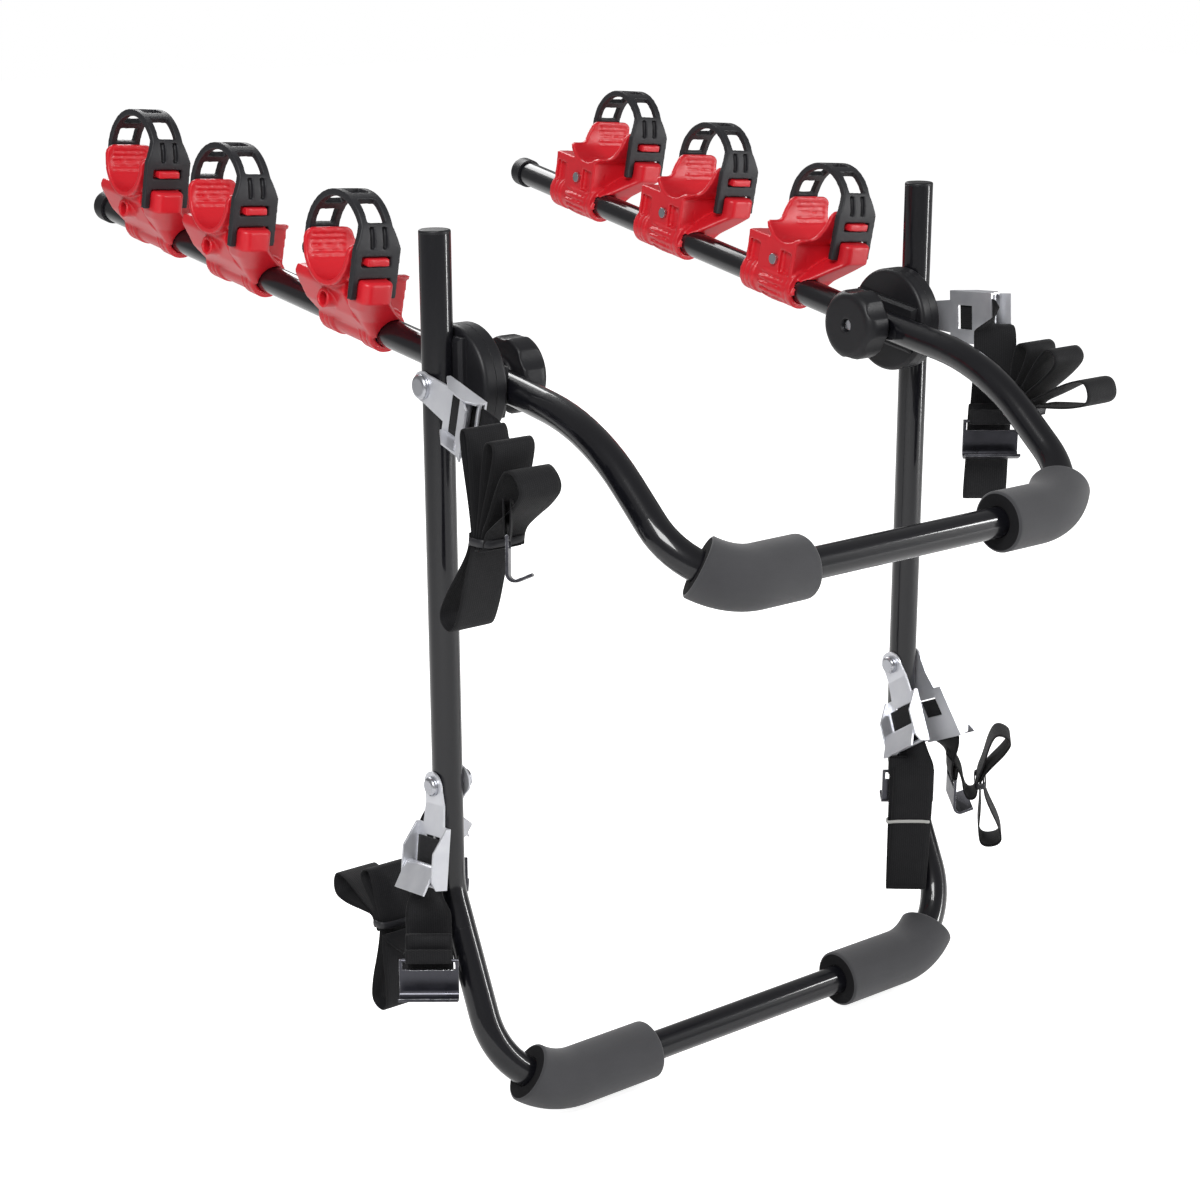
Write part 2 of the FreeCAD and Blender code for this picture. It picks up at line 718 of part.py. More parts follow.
def cradle_body():
    boss = cyl(boss_r, boss_out, V(0, screw_at, screw_rise), X)
    body = trough_shape().fuse([clamp_shape(), neck_shape(), chin_shape(), boss])
    bore = u_profile(trough_r, wall_top + 10, wing_in - 2, seat_out + 2, trough_mid, trough_floor)
    body = body.cut(bore).cut(grip_grooves())
    peg_root = trough_mid - trough_r - trough_wall + overlap
    peg = box(V(peg_in, -peg_reach, peg_low), V(peg_out, peg_root, peg_high))
    body = body.fuse([peg] + hinge_ears())
    near = min(section[3] for section in chin_sections) - 1
    body = body.cut(cyl(tube_r + clamp_fit, clamp_len + 1 - near, V(0, near, 0), Y))
    slit_top = trough_floor - trough_wall - ear_half
    body = body.cut(box(V(-clamp_slit / 2, near, 0), V(clamp_slit / 2, clamp_len + 1, slit_top)))
    reach = 2 * boss_out
    body = body.cut(cyl(screw_d / 2 + clamp_fit, 2 * reach, V(-reach, screw_at, screw_rise), X))
    for low in (screw_in - reach, screw_out):
        body = body.cut(cyl(screw_head_d / 2 + head_room, reach, V(low, screw_at, screw_rise), X))
    return body.removeSplitter()


def hinge_y():
    return ladder_mid + ladder_r


def hinge_ears():
    """Two ears behind the far wall that carry the strap's hinge pin."""
    ears = []
    y_far = hinge_y() + ear_half
    y_near = trough_mid + trough_r + trough_wall - overlap / 2
    for low in (band_in + rail_w + leg_play, band_out - rail_w - leg_play - ear_t):
        ear = box(V(low, y_near, hinge_rise - ear_half), V(low + ear_t, y_far, hinge_rise + ear_half))
        hole = cyl(hinge_pin_d / 2 + bolt_fit, 2 * ear_t, V(low - ear_t / 2, hinge_y(), hinge_rise), X)
        ears.append(ear.cut(hole))
    return ears


def cradle_screw():
    """Clamp screw with its head on the inner side and a nut on the outer side."""
    head = cyl(screw_head_d / 2, screw_head_t, V(screw_in - screw_head_t, screw_at, screw_rise), X)
    shank = cyl(screw_d / 2, screw_out - screw_in + screw_head_t, V(screw_in, screw_at, screw_rise), X)
    nut = cyl(screw_head_d / 2, screw_nut_t, V(screw_out, screw_at, screw_rise), X)
    return head.fuse([shank, nut])


def ladder_arch():
    """Plain strap, as wide as its shoulders: near legs, arch and far end."""
    r_out = ladder_r + ladder_t / 2
    r_in = ladder_r - ladder_t / 2
    wide = shoulder_out - shoulder_in
    arch = cyl(r_out, wide, V(shoulder_in, ladder_mid, ladder_rise), X)
    arch = arch.cut(cyl(r_in, 2 * wide, V(0, ladder_mid, ladder_rise), X))
    arch = arch.cut(box(V(0, ladder_mid - 2 * r_out, 0), V(2 * wide, ladder_mid + 2 * r_out, ladder_rise)))
    near = box(V(shoulder_in, ladder_mid - r_out, leg_tip), V(shoulder_out, ladder_mid - r_in, ladder_rise))
    far = box(V(shoulder_in, ladder_mid + r_in, far_tip), V(shoulder_out, ladder_mid + r_out, ladder_rise))
    return arch.fuse([near, far])


def band_trims(near_y, far_y, high):
    """What is cut away beside the band, over the sloping shoulders and down the far side."""
    cuts = []
    crest = shoulder_low + shoulder_slope
    for outside, edge, shoulder in ((0.0, band_in, shoulder_in), (2 * shoulder_out, band_out, shoulder_out)):
        low = min(outside, edge)
        wide = max(outside, edge)
        cuts.append(box(V(low, near_y, crest - 1.0), V(wide, far_y, high)))
        cuts.append(box(V(low, ladder_mid, 0), V(wide, far_y, high)))
        slope = [V(outside, near_y, shoulder_low), V(outside, near_y, crest), V(edge, near_y, crest),
                 V(shoulder, near_y, shoulder_low)]
        cuts.append(prism(slope, V(0, ladder_r, 0)))
    return cuts


def arch_wedge(start, end, in_x, out_x):
    """Tool for one window of the arch, between two angles from its near foot."""
    points = [V(in_x, ladder_mid, ladder_rise)]
    for angle in (start, end):
        a = math.radians(angle)
        points.append(V(in_x, ladder_mid - 2 * ladder_r * math.cos(a), ladder_rise + 2 * ladder_r * math.sin(a)))
    return prism(points, V(out_x - in_x, 0, 0))


def slot_tool(at, near_y):
    """Tool for a slot that stops inside the strap."""
    core_r = ladder_r + ladder_t / 2 - slot_deep
    low = window_high + rail_w
    tool = box(V(at, near_y, low), V(at + slot_w, ladder_mid, low + slot_len))
    core = cyl(core_r, 3 * slot_w, V(at - slot_w, ladder_mid, ladder_rise), X)
    return tool.cut(core.fuse(box(V(at - slot_w, ladder_mid - core_r, 0),
                                  V(at + 2 * slot_w, ladder_mid + core_r, ladder_rise))))


def ladder_strap():
    """Rubber strap that arches over the trough, with its ladder end on the near side."""
    near_y = ladder_mid - reach_past
    near_end = ladder_mid - ladder_r / 2
    far_y = ladder_mid + reach_past
    high = ladder_rise + reach_past
    in_x = band_in + rail_w
    out_x = band_out - rail_w
    cuts = band_trims(near_y, far_y, high)
    # window over the peg and the gap between the two legs
    cuts.append(box(V(band_in + 2, near_y, rung_high), V(band_out, near_end, window_high)))
    cuts.append(box(V(nose_in - leg_play, near_y, 0), V(nose_out + leg_play, near_end, rung_low)))
    cuts += [slot_tool(at, near_y) for at in slot_at]
    cuts += [arch_wedge(start, end, in_x, out_x) for start, end in arch_windows]
    play = leg_play / 2
    far_end = ladder_mid + ladder_r / 2
    cuts.append(box(V(in_x - play, far_end, 0), V(out_x + play, far_y, hinge_rise + hinge_open)))
    strap = ladder_arch().cut(Part.makeCompound(cuts))
    # eyes and the pin they turn on
    for low in (band_in, band_out - rail_w):
        strap = strap.fuse(cyl(hinge_pin_d / 2 + eye_wall, rail_w, V(low, hinge_y(), hinge_rise), X))
    pin = cyl(hinge_pin_d / 2, band_out - band_in, V(band_in, hinge_y(), hinge_rise), X)
    return strap.fuse(pin).removeSplitter()


def cradle_frame(side, near):
    """Origin and axes of one cradle, with local x pointing outwards."""
    along = arm_axis(side)
    up = (Z - along * along.z).normalize()
    right = along.cross(up)
    lean = math.radians(cradle_lean)
    tilted_right = right * math.cos(lean) - up * math.sin(lean)
    tilted_up = right * math.sin(lean) + up * math.cos(lean)
    return arm_start(side) + along * near, tilted_right, along, tilted_up


def make_cradles():
    body = cradle_body()
    strap = ladder_strap()
    screw = cradle_screw()
    flipped = [mirrored(s) for s in (body, strap, screw)]
    screws = []
    for side, tag, nears in ((-1, "left", cradle_near_left), (1, "right", cradle_near_right)):
        pieces = [body, strap, screw] if side > 0 else flipped
        for i, near in enumerate(nears):
            place = cradle_frame(side, near)
            export("cradle_%s_%d" % (tag, i + 1), [placed(pieces[0], *place)])
            export("ladder_%s_%d" % (tag, i + 1), [placed(pieces[1], *place)])
            screws.append(placed(pieces[2], *place))
            middle = (band_in + band_out) / 2
            pin = place[0] + place[1] * (side * middle) + place[2] * hinge_y() + place[3] * hinge_rise
            print("hinge", tag, i + 1, [round(c / 1000.0, 5) for c in pin], "axis",
                  [round(c, 5) for c in place[1]])
    export("cradle_screws", screws)


# Buckles. Local x is the outward normal of the base plate, local y its width and
# the strap runs to -z.

def buckle_frame():
    base = box(V(0, -frame_w / 2, -frame_to), V(plate_t, frame_w / 2, -frame_from))
    top = -tongue_bend + bend_lap
    foot = -frame_from - 1
    neck = prism([V(0, -tongue_neck, top), V(0, tongue_neck, top), V(0, frame_neck, foot),
                  V(0, -frame_neck, foot)], V(plate_t, 0, 0))
    window = box(V(-1, -base_window / 2, -base_window_to), V(plate_t + 1, base_window / 2, -base_window_from))
    cheeks = []
    for sign in (-1, 1):
        inner = sign * (frame_w / 2 - plate_t)
        outline = [V(high, inner, -down) for high, down in cheek_outline]
        cheek = prism(outline, V(0, sign * plate_t, 0))
        cheeks.append(cheek)
    span = frame_w - plate_t
    bars = [cyl(pin_d / 2, span, V(pin_up, -span / 2, -pin_at), Y),
            cyl(bar_d / 2, span, V(bar_up, -span / 2, -bar_at), Y)]
    body = base.fuse([neck] + cheeks).cut(window)
    return body.fuse(bars)


def cam_lever():
    """Toothed cam and thumb plate that turn on the pin between the cheeks."""
    width = frame_w - 2 * plate_t - 2 * gap
    cam = cyl(cam_d / 2, width, V(pin_up, -width / 2, -pin_at), Y)
    angle = math.radians(thumb_angle)
    run = V(math.sin(angle), 0, -math.cos(angle))
    out = V(math.cos(angle), 0, math.sin(angle))
    start = V(pin_up, -width / 2, -pin_at) + out * (cam_d / 2 - plate_t)
    thumb = prism([start, start + run * thumb_len, start + run * thumb_len + out * plate_t,
                   start + out * plate_t], V(0, width, 0))
    lever = cam.fuse(thumb)
    return lever.cut(cyl(pin_d / 2 + bolt_fit, frame_w, V(pin_up, -frame_w / 2, -pin_at), Y))


# Webbing. Each strap is one piece: a lead out of its buckle, a hanging fold and a
# tied fan of petals. A ribbon is a planar path of lines and arcs with a thickness,
# extruded by the webbing's width.

def ribbon_edges(points, radii):
    """Closed outline of a ribbon seen on its edge, in the local xy plane."""
    sides = []
    for sign in (1, -1):
        nodes = [shifted(points, 0, sign)]
        for i in range(1, len(points) - 1):
            nodes.append(corner(points, radii[i - 1], i, sign))
        nodes.append(shifted(points, -1, sign))
        sides.append(nodes)
    edges = []
    for nodes in sides:
        start = nodes[0]
        for node in nodes[1:-1]:
            first, middle, last = node
            edges.append(Part.LineSegment(start, first).toShape())
            edges.append(Part.Arc(first, middle, last).toShape())
            start = last
        edges.append(Part.LineSegment(start, nodes[-1]).toShape())
    for k in (0, -1):
        edges.append(Part.LineSegment(sides[0][k], sides[1][k]).toShape())
    return Part.Wire(Part.__sortEdges__(edges))


def shifted(points, end, sign):
    """End point of a ribbon's outline."""
    ahead = points[1] - points[0] if end == 0 else points[-1] - points[-2]
    return points[end] + V(-ahead.y, ahead.x, 0).normalize() * (sign * web_t / 2)


def corner(points, radius, i, sign):
    """First, middle and last point of a rounded corner on one side of the ribbon."""
    before = (points[i - 1] - points[i]).normalize()
    after = (points[i + 1] - points[i]).normalize()
    turn = math.pi - before.getAngle(after)
    left = after.x * -before.y + before.x * after.y
    bend = 1 if left > 0 else -1
    own = radius + bend * sign * web_t / 2
    reach = radius * math.tan(turn / 2.0)
    inward = (before + after).normalize()
    centre = points[i] + inward * (radius / math.cos(turn / 2.0))
    first = centre + (points[i] + before * reach - centre).normalize() * own
    last = centre + (points[i] + after * reach - centre).normalize() * own
    return first, centre - inward * own, last


def least_gap(points, radii):
    """Smallest distance of a ribbon to itself, less its thickness, on sample points."""
    wire = rounded_path(points, radii)
    spots = wire.discretize(Distance=1.5)
    skip = int(math.pi * fold_r / (wire.Length / (len(spots) - 1))) + 2
    best = 1e9
    for i, a in enumerate(spots):
        for b in spots[i + skip:]:
            best = min(best, a.distanceToPoint(b))
    return best - web_t, wire.Length


def fitted(points, radii):
    """Largest bends, up to those asked for, that leave straight webbing between them."""
    result = []
    for i in range(1, len(points) - 1):
        before = points[i - 1] - points[i]
        after = points[i + 1] - points[i]
        turn = math.pi - before.getAngle(after)
        room = 0.48 * min(before.Length, after.Length) / math.tan(turn / 2.0)
        result.append(min(radii[i - 1], room))
    return result


def ribbon(tag, points, radii):
    points = [V(a, b, 0) for a, b in points]
    radii = fitted(points, radii)
    clear, length = least_gap(points, radii)
    print("ribbon %-22s length %.0f  least gap %.2f" % (tag, length, clear))
    return Part.Face(ribbon_edges(points, radii)).extrude(V(0, 0, web_w))


def petal(slot, rise, angle, length, tip):
    """Corners of one open loop that leaves the tie at a slot and comes back at the next."""
    out = V(math.cos(math.radians(angle)), math.sin(math.radians(angle)), 0)
    side = V(out.y, -out.x, 0) * (1 if rise > 0 else -1)
    middle = V(slot + fold_pitch / 2, rise * tie_half, 0) + out * length
    points = [(slot, rise * tie_half), (middle.x - side.x * tip, middle.y - side.y * tip),
              (middle.x + side.x * tip, middle.y + side.y * tip),
              (slot + fold_pitch, rise * tie_half)]
    return points, [petal_root_r, tip, tip, petal_root_r]


def fan(petals):
    """Corners of a folded ribbon whose petals fan out from a tie at the local origin.

    A petal with a negative angle hangs; two that both rise are joined by a tight fold.
    """
    up = petals[0][0] > 0
    points = [(0.0, -tie_half if up else tie_half)]
    radii = []
    slot = 0.0
    for angle, length, tip in petals:
        rises = angle > 0
        if rises != up:
            points += [(slot, (1 if rises else -1) * -tie_half),
                       (slot + fold_pitch, (1 if rises else -1) * -tie_half)]
            radii += [fold_r, fold_r]
            slot += fold_pitch
        corners, bends = petal(slot, 1 if rises else -1, angle, length, tip)
        points += corners
        radii += bends
        slot += fold_pitch
        up = not rises
    points.append((slot, tie_half if up else -tie_half))
    return points, radii, slot


def with_hook_loop(points, radii, at, turn):
    """Lead the ribbon's end to a hook's bar and back up; the bar is at the given place."""
    x, y = at
    near = x - turn * hook_loop_r
    far = x + turn * hook_loop_r
    points = points + [(near, y - hook_loop_r), (far, y - hook_loop_r), (far, y + hook_loop_tail)]
    return points, radii + [hook_loop_r * 0.96, hook_loop_r * 0.96]


def hook_shape():
    """Flat J hook hanging from its bar at the origin; it opens to local +x."""
    tip = V(hook_reach, 0, -hook_drop + hook_rise)
    path = rounded_path([V(0, 0, -window_h), V(0, 0, -hook_drop), tip], [hook_bend])
    h = hook_w / 2
    t = hook_t / 2
    ring = Part.makePolygon([V(-t, -h, -window_h), V(t, -h, -window_h), V(t, h, -window_h),
                             V(-t, h, -window_h), V(-t, -h, -window_h)])
    blade = path.makePipeShell([ring], True, False)
    bar = cyl(hook_bar_r, hook_w, V(0, -h, 0), Y)
    rails = [box(V(-t, low, -window_h - 1), V(t, low + rail_t, 1)) for low in (-h, h - rail_t)]
    return blade.fuse([bar] + rails)


def turned(v, degrees):
    """Turn a level direction about the vertical."""
    a = math.radians(degrees)
    return V(v.x * math.cos(a) - v.y * math.sin(a), v.x * math.sin(a) + v.y * math.cos(a), v.z)


class Strap:
    """One fastening strap: its buckle, lever, webbing and hook."""

    def __init__(self, name, side, drop, facing, swing, tilt):
        self.name = name
        self.swing = math.radians(swing)
        self.tilt = math.radians(tilt)
        self.out = X * (side * facing)
        self.bolt_d = bolt_d if drop == 0 else low_bolt_d
        self.origin = V(side * half, hub_y, hub_z - drop) + self.out * (tube_r + gap)
        self.up = V(0, math.sin(self.swing), math.cos(self.swing))
        self.across = self.up.cross(self.out)
        self.run = self.out * math.sin(self.tilt) - self.up * math.cos(self.tilt)
        self.normal = self.out * math.cos(self.tilt) + self.up * math.sin(self.tilt)
        # the hanging fold: corners, how far its plane is turned, and where it starts
        self.fold = []
        self.turn = 0.0
        self.lead = lead_past
        self.lap = fold_lap
        self.slide = 0.0
        # the tied fan: place, petals, how far its plane is turned, and what joins it on
        self.tie = (0.0, 0.0)
        self.fan_offset = -0.5
        self.fan_turn = 0.0
        self.petals = []
        self.root = []
        self.root_last = False
        self.tie_deep = 1.0
        # the hook, on the fold or on a loop of its own that hangs from the fan
        self.hook = (0.0, 0.0)
        self.hook_on_fan = False
        self.hook_turn = 0.0
        self.hook_aside = 0.0
        self.hook_dip = 0.0
        self.hook_tail = hook_loop_tail

    def at(self, down, high):
        """Point of the tilted buckle frame."""
        return self.origin - self.up * tongue_bend + self.run * (down - tongue_bend) + self.normal * high

    def buckle(self):
        tongue = cyl(tongue_r, plate_t, V(0, 0, 0), X)
        low = -tongue_bend - tongue_lap
        side = tongue_r - tongue_inset
        tongue = tongue.fuse(prism([V(0, -side, -3), V(0, side, -3), V(0, tongue_neck, low),
                                    V(0, -tongue_neck, low)], V(plate_t, 0, 0)))
        tongue = tongue.cut(cyl(self.bolt_d / 2 + bolt_fit, 3 * plate_t, V(-plate_t, 0, 0), X))
        tongue = placed(tongue, self.origin, self.out, self.across, self.up)
        return tongue.fuse(placed(buckle_frame(), *self.frame()))

    def frame(self):
        """Origin and axes of the tilted frame."""
        return self.at(0, 0), self.normal, self.across, self.run * -1.0

    def lever(self):
        axis = self.at(pin_at, pin_up)
        print("lever", self.name, rounded(axis / 1000.0), "axis", rounded(self.across))
        return placed(cam_lever(), *self.frame())

    def hang(self):
        """Where the webbing turns to hang straight down."""
        return self.at(frame_to + self.lead, web_level)

    def lead_strip(self):
        low = V(web_level - web_t / 2, -web_w / 2, -frame_to - self.lead - web_t)
        high = V(web_level + web_t / 2, web_w / 2, -frame_from - lead_in)
        return placed(box(low, high), *self.frame())

    def fold_frame(self):
        """Middle of the hanging fold's start and its axes: outwards, up and across."""
        out = turned(self.out, self.turn)
        flat = out.cross(Z)
        return self.hang() + flat * self.slide, out, Z, flat

    def webbing(self):
        """The lead out of the buckle, the hanging fold and the tied fan, as one solid."""
        points = [(0.0, self.lap)] + list(self.fold)
        if self.hook_on_fan:
            radii = [fold_bend_r] * (len(self.fold) - 1)
        else:
            radii = [fold_bend_r] * len(self.fold)
            points, radii = with_hook_loop(points, radii, self.hook, 1)
        strip = ribbon(self.name + " fold", points, radii)
        middle, out, up, flat = self.fold_frame()
        strip = placed(strip, middle - flat * (web_w / 2), out, up, flat)
        return self.lead_strip().fuse([strip] + self.petal_parts())

    def petal_parts(self):
        """Fan of petals with the band of the tie, and the hook's own loop."""
        if not self.petals:
            return []
        points, radii, width = fan(self.petals)
        if self.root and self.root_last:
            points = points[:-1] + self.root
            radii = radii + [root_bend_r] * (len(self.root) - 1)
        elif self.root:
            points = self.root + points[1:]
            radii = [root_bend_r] * (len(self.root) - 1) + radii
        strip = ribbon(self.name + " petals", points, radii)
        place = self.fan_frame()
        block = box(V(-tie_spare, -tie_band / 2, -self.tie_deep),
                    V(width + tie_spare, tie_band / 2, web_w + 1.0))
        parts = [placed(strip, *place), placed(block, *place)]
        if self.hook_on_fan:
            start = [(-hook_loop_r, self.hook_tail)]
            loop = ribbon(self.name + " hook loop", *with_hook_loop(start, [], (0.0, 0.0), 1))
            origin, out, across, up = self.hook_place()
            parts.append(placed(loop, origin - out.cross(up) * (web_w / 2), out, up, out.cross(up)))
        return parts

    def fan_frame(self):
        """Origin of the tied fan and its axes: along the fan, up and across the webbing."""
        y, z = self.tie
        inner = self.hang().x + self.out.x * self.fan_offset
        origin = V(inner, hub_y + y, hub_z + z)
        return origin, turned(Y * -1.0, self.fan_turn), Z, turned(self.out, self.fan_turn)

    def hook_place(self):
        """Middle of the hook's bar and its axes: to where it opens, along the bar and up."""
        x, z = self.hook
        if self.hook_on_fan:
            origin, along, up, wide = self.fan_frame()
            middle = origin + along * x + up * z + wide * (web_w / 2 + self.hook_aside)
        else:
            origin, along, up, wide = self.fold_frame()
            middle = origin + along * x + up * z
        out = turned(along, self.hook_turn)
        level = up.cross(out)
        dip = math.radians(self.hook_dip)
        return middle, out, level * math.cos(dip) - up * math.sin(dip), up * math.cos(dip) + level * math.sin(dip)

    def hook_piece(self):
        return placed(hook_shape(), *self.hook_place())


def rounded(v):
    return [round(c, 5) for c in v]


def all_straps():
    """The six straps as they hang, tied up, when the carrier is off the vehicle."""
    a = Strap("upper_left", -1, 0.0, 1, 75.0, 0.0)
    a.fold = [(0.0, -70.0)]
    a.lead = 36.0
    a.fan_offset = 2.0
    a.tie_deep = 4.0
    a.tie = (-134.0, -101.0)
    a.petals = [(-118.0, 88.0, 12.0), (98.0, 84.0, 5.0), (76.0, 81.0, 7.0), (50.0, 73.0, 14.0)]
    a.hook_on_fan = True
    a.hook = (50.0, 12.0)
    a.hook_aside = 17.0
    a.hook_turn = 52.6
    a.hook_dip = 16.0
    a.hook_tail = 30.0

    c = Strap("upper_right", 1, 0.0, 1, 94.0, 0.0)
    c.fold = [(0.0, -178.0), (15.0, -178.0), (15.0, -80.0), (26.0, -80.0)]
    c.turn = -127.4
    c.lead = 8.0
    c.lap = 18.0
    c.slide = 9.0
    c.hook = (29.0, -95.0)
    c.tie = (-112.0, -82.0)
    c.root = [(-26.0, -16.0), (0.0, -16.0)]
    c.petals = [(74.0, 64.0, 8.0), (50.0, 76.0, 10.0), (18.0, 92.0, 13.0)]

    b = Strap("lower_left_outer", -1, low_bolt_drop, 1, 8.0, 11.0)
    b.fold = [(0.0, -84.0), (15.0, -84.0), (15.0, -22.0), (25.0, -22.0)]
    b.turn = 52.6
    b.slide = -2.0
    b.hook = (28.0, -44.0)
    b.fan_offset = -20.5
    b.tie = (44.0, -506.0)
    b.root = [(18.0, -14.0), (50.0, -14.0)]
    b.root_last = True
    b.petals = [(172.0, 72.0, 13.0), (122.0, 46.0, 9.0), (-96.0, 80.0, 13.0)]

    e = Strap("lower_right_outer", 1, low_bolt_drop, 1, 25.0, 11.0)
    e.turn = -37.4
    e.lead = 10.0
    e.hook = (3.0, -30.0)
    e.fan_offset = 9.1
    e.fan_turn = 45.0
    e.tie = (-75.3, -495.6)
    e.root = [(-34.0, 34.0), (-18.0, 18.0), (-13.0, -16.0), (0.0, -16.0)]
    e.petals = [(63.0, 54.0, 10.0), (-78.0, 62.0, 12.0)]

    d = Strap("lower_right_inner", 1, low_bolt_drop, -1, 34.0, 11.0)
    d.fold = [(0.0, -145.0), (5.5, -145.0), (5.5, 2.0), (11.0, 2.0)]
    d.turn = -127.4
    d.lead = 15.0
    d.slide = -5.0
    d.hook = (14.0, -16.0)

    f = Strap("lower_left_inner", -1, low_bolt_drop, -1, -44.0, 11.0)
    f.fold = [(0.0, -50.0), (15.0, -50.0), (15.0, -14.0), (24.0, -14.0)]
    f.turn = 52.6
    f.hook = (27.0, -44.0)
    return [a, c, b, f, d, e]


def make_straps():
    for strap in all_straps():
        export("buckle_" + strap.name, [strap.buckle()])
        export("lever_" + strap.name, [strap.lever()])
        export("webbing_" + strap.name, [strap.webbing()])
        export("hook_" + strap.name, [strap.hook_piece()])


def main():
    os.makedirs("parts", exist_ok=True)
    make_frame_tubes()
    make_swing_tube()
    make_caps()
    make_foam()
    make_hubs()
    make_knobs()
    make_bolts()
    make_cradles()
    make_straps()


if __name__ == "__main__":
    main()
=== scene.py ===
import logging
import math
from dataclasses import dataclass, field
from enum import Enum
from functools import partial

import bmesh
import bpy
from mathutils import Matrix, Vector


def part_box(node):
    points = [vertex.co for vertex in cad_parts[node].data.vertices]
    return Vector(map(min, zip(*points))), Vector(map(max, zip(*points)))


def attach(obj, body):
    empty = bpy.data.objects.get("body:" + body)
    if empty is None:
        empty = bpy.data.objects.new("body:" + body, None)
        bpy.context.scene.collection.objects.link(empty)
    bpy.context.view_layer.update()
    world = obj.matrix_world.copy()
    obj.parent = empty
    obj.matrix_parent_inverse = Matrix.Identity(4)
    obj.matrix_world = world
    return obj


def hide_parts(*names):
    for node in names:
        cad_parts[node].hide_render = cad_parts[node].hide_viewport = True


# Strap-on carrier for three bicycles. Lengths are metres, in the frame of the
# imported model: +X across, +Y away from the vehicle, +Z up, with the origin in
# the middle of the lower cross bar.

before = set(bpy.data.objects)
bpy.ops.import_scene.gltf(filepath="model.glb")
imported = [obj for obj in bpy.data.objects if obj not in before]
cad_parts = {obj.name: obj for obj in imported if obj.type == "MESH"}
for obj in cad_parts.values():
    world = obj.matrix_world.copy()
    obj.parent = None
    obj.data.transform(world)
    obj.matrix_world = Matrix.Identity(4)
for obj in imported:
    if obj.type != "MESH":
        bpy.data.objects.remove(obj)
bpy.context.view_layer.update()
log = logging.getLogger("carrier")

Pair = tuple[float, float]
Triple = tuple[float, float, float]
Material = bpy.types.Material
Mesh = bpy.types.Mesh
Node = bpy.types.Node
Socket = bpy.types.NodeSocket
Tree = bpy.types.NodeTree
WHITE = (1.0, 1.0, 1.0, 1.0)
NUMBER = "NodeSocketFloat"
BEVEL_SAMPLES = 4
UP = Vector((0, 0, 1))


class Side(Enum):
    """The two sides of the carrier, with the sign of their X."""

    LEFT = -1
    RIGHT = 1

    @property
    def tag(self) -> str:
        """Name of the side as the nodes use it."""
        return self.name.lower()


# Node groups shared by the finishes


def new_group(name: str, inputs: dict[str, float],
              outputs: tuple[str, ...]) -> tuple[Tree, dict[str, Socket], dict[str, Socket]]:
    """Make an empty shader group whose sockets are numbers.

    Args:
        name: Name of the group.
        inputs: Names of the inputs and their defaults.
        outputs: Names of the outputs.

    Returns:
        The new tree, the sockets that give its inputs and those that take its outputs.
    """
    tree = bpy.data.node_groups.new(name, "ShaderNodeTree")
    for label, value in inputs.items():
        socket = tree.interface.new_socket(label, in_out="INPUT", socket_type=NUMBER)
        socket.default_value = value
    for label in outputs:
        tree.interface.new_socket(label, in_out="OUTPUT", socket_type=NUMBER)
    given = tree.nodes.new("NodeGroupInput").outputs
    result = tree.nodes.new("NodeGroupOutput").inputs
    return tree, {s.name: s for s in given if s.name}, {s.name: s for s in result if s.name}


def part_of(tree: Tree, kind: str) -> Node:
    """Find the first node of a kind, given by Blender's identifier."""
    return next(n for n in tree.nodes if n.bl_idname == kind)


def set_inputs(node: Node, **values) -> None:
    """Give inputs their values, with spaces in the names written as underscores."""
    for label, value in values.items():
        node.inputs[label.replace("_", " ")].default_value = value


def math_node(tree: Tree, operation: str, first, second=None, clamp: bool = False) -> Socket:
    """Add a math node whose inputs are sockets or numbers.

    Args:
        tree: Tree that gets the node.
        operation: Blender's name of the operation.
        first: First input.
        second: Second input, if the operation has one.
        clamp: Whether the result is kept between 0 and 1.

    Returns:
        The result's socket.
    """
    node = tree.nodes.new("ShaderNodeMath")
    node.operation = operation
    node.use_clamp = clamp
    for socket, value in zip(node.inputs, (first, second)):
        if value is None:
            continue
        if isinstance(value, Socket):
            tree.links.new(value, socket)
        else:
            socket.default_value = value
    return node.outputs[0]


def noise_node(tree: Tree, vector, scale, detail: float = 2.0, rough: float = 0.5) -> Socket:
    """Add a noise texture.

    Args:
        tree: Tree that gets the node.
        vector: Socket with the coordinates.
        scale: Number or socket with the scale.
        detail: Octaves.
        rough: Roughness of the octaves.

    Returns:
        The noise's value socket.
    """
    node = tree.nodes.new("ShaderNodeTexNoise")
    tree.links.new(vector, node.inputs["Vector"])
    if isinstance(scale, Socket):
        tree.links.new(scale, node.inputs["Scale"])
    else:
        node.inputs["Scale"].default_value = scale
    set_inputs(node, Detail=detail, Roughness=rough)
    return node.outputs["Fac"]


def object_coordinates(tree: Tree) -> Socket:
    """Socket with a point's place in its object, in metres."""
    return tree.nodes.new("ShaderNodeTexCoord").outputs["Object"]


def moulded_grain_group() -> Tree:
    """Group for the fine skin of moulded plastic, foam, rubber and powder coat.

    Returns:
        A tree with Height, Mottle and Roughness outputs.
    """
    tree, given, result = new_group(
        "moulded_grain",
        {"Scale": 900.0, "Patch Scale": 28.0, "Roughness": 0.4, "Roughness Spread": 0.1},
        ("Height", "Mottle", "Roughness"),
    )
    place = object_coordinates(tree)
    fine = noise_node(tree, place, given["Scale"], 3.0, 0.6)
    patch = noise_node(tree, place, given["Patch Scale"], 3.0, 0.55)
    tree.links.new(fine, result["Height"])
    tree.links.new(patch, result["Mottle"])
    centred = math_node(tree, "SUBTRACT", patch, 0.5)
    spread = math_node(tree, "MULTIPLY", centred, given["Roughness Spread"])
    tree.links.new(math_node(tree, "ADD", given["Roughness"], spread, True), result["Roughness"])
    return tree


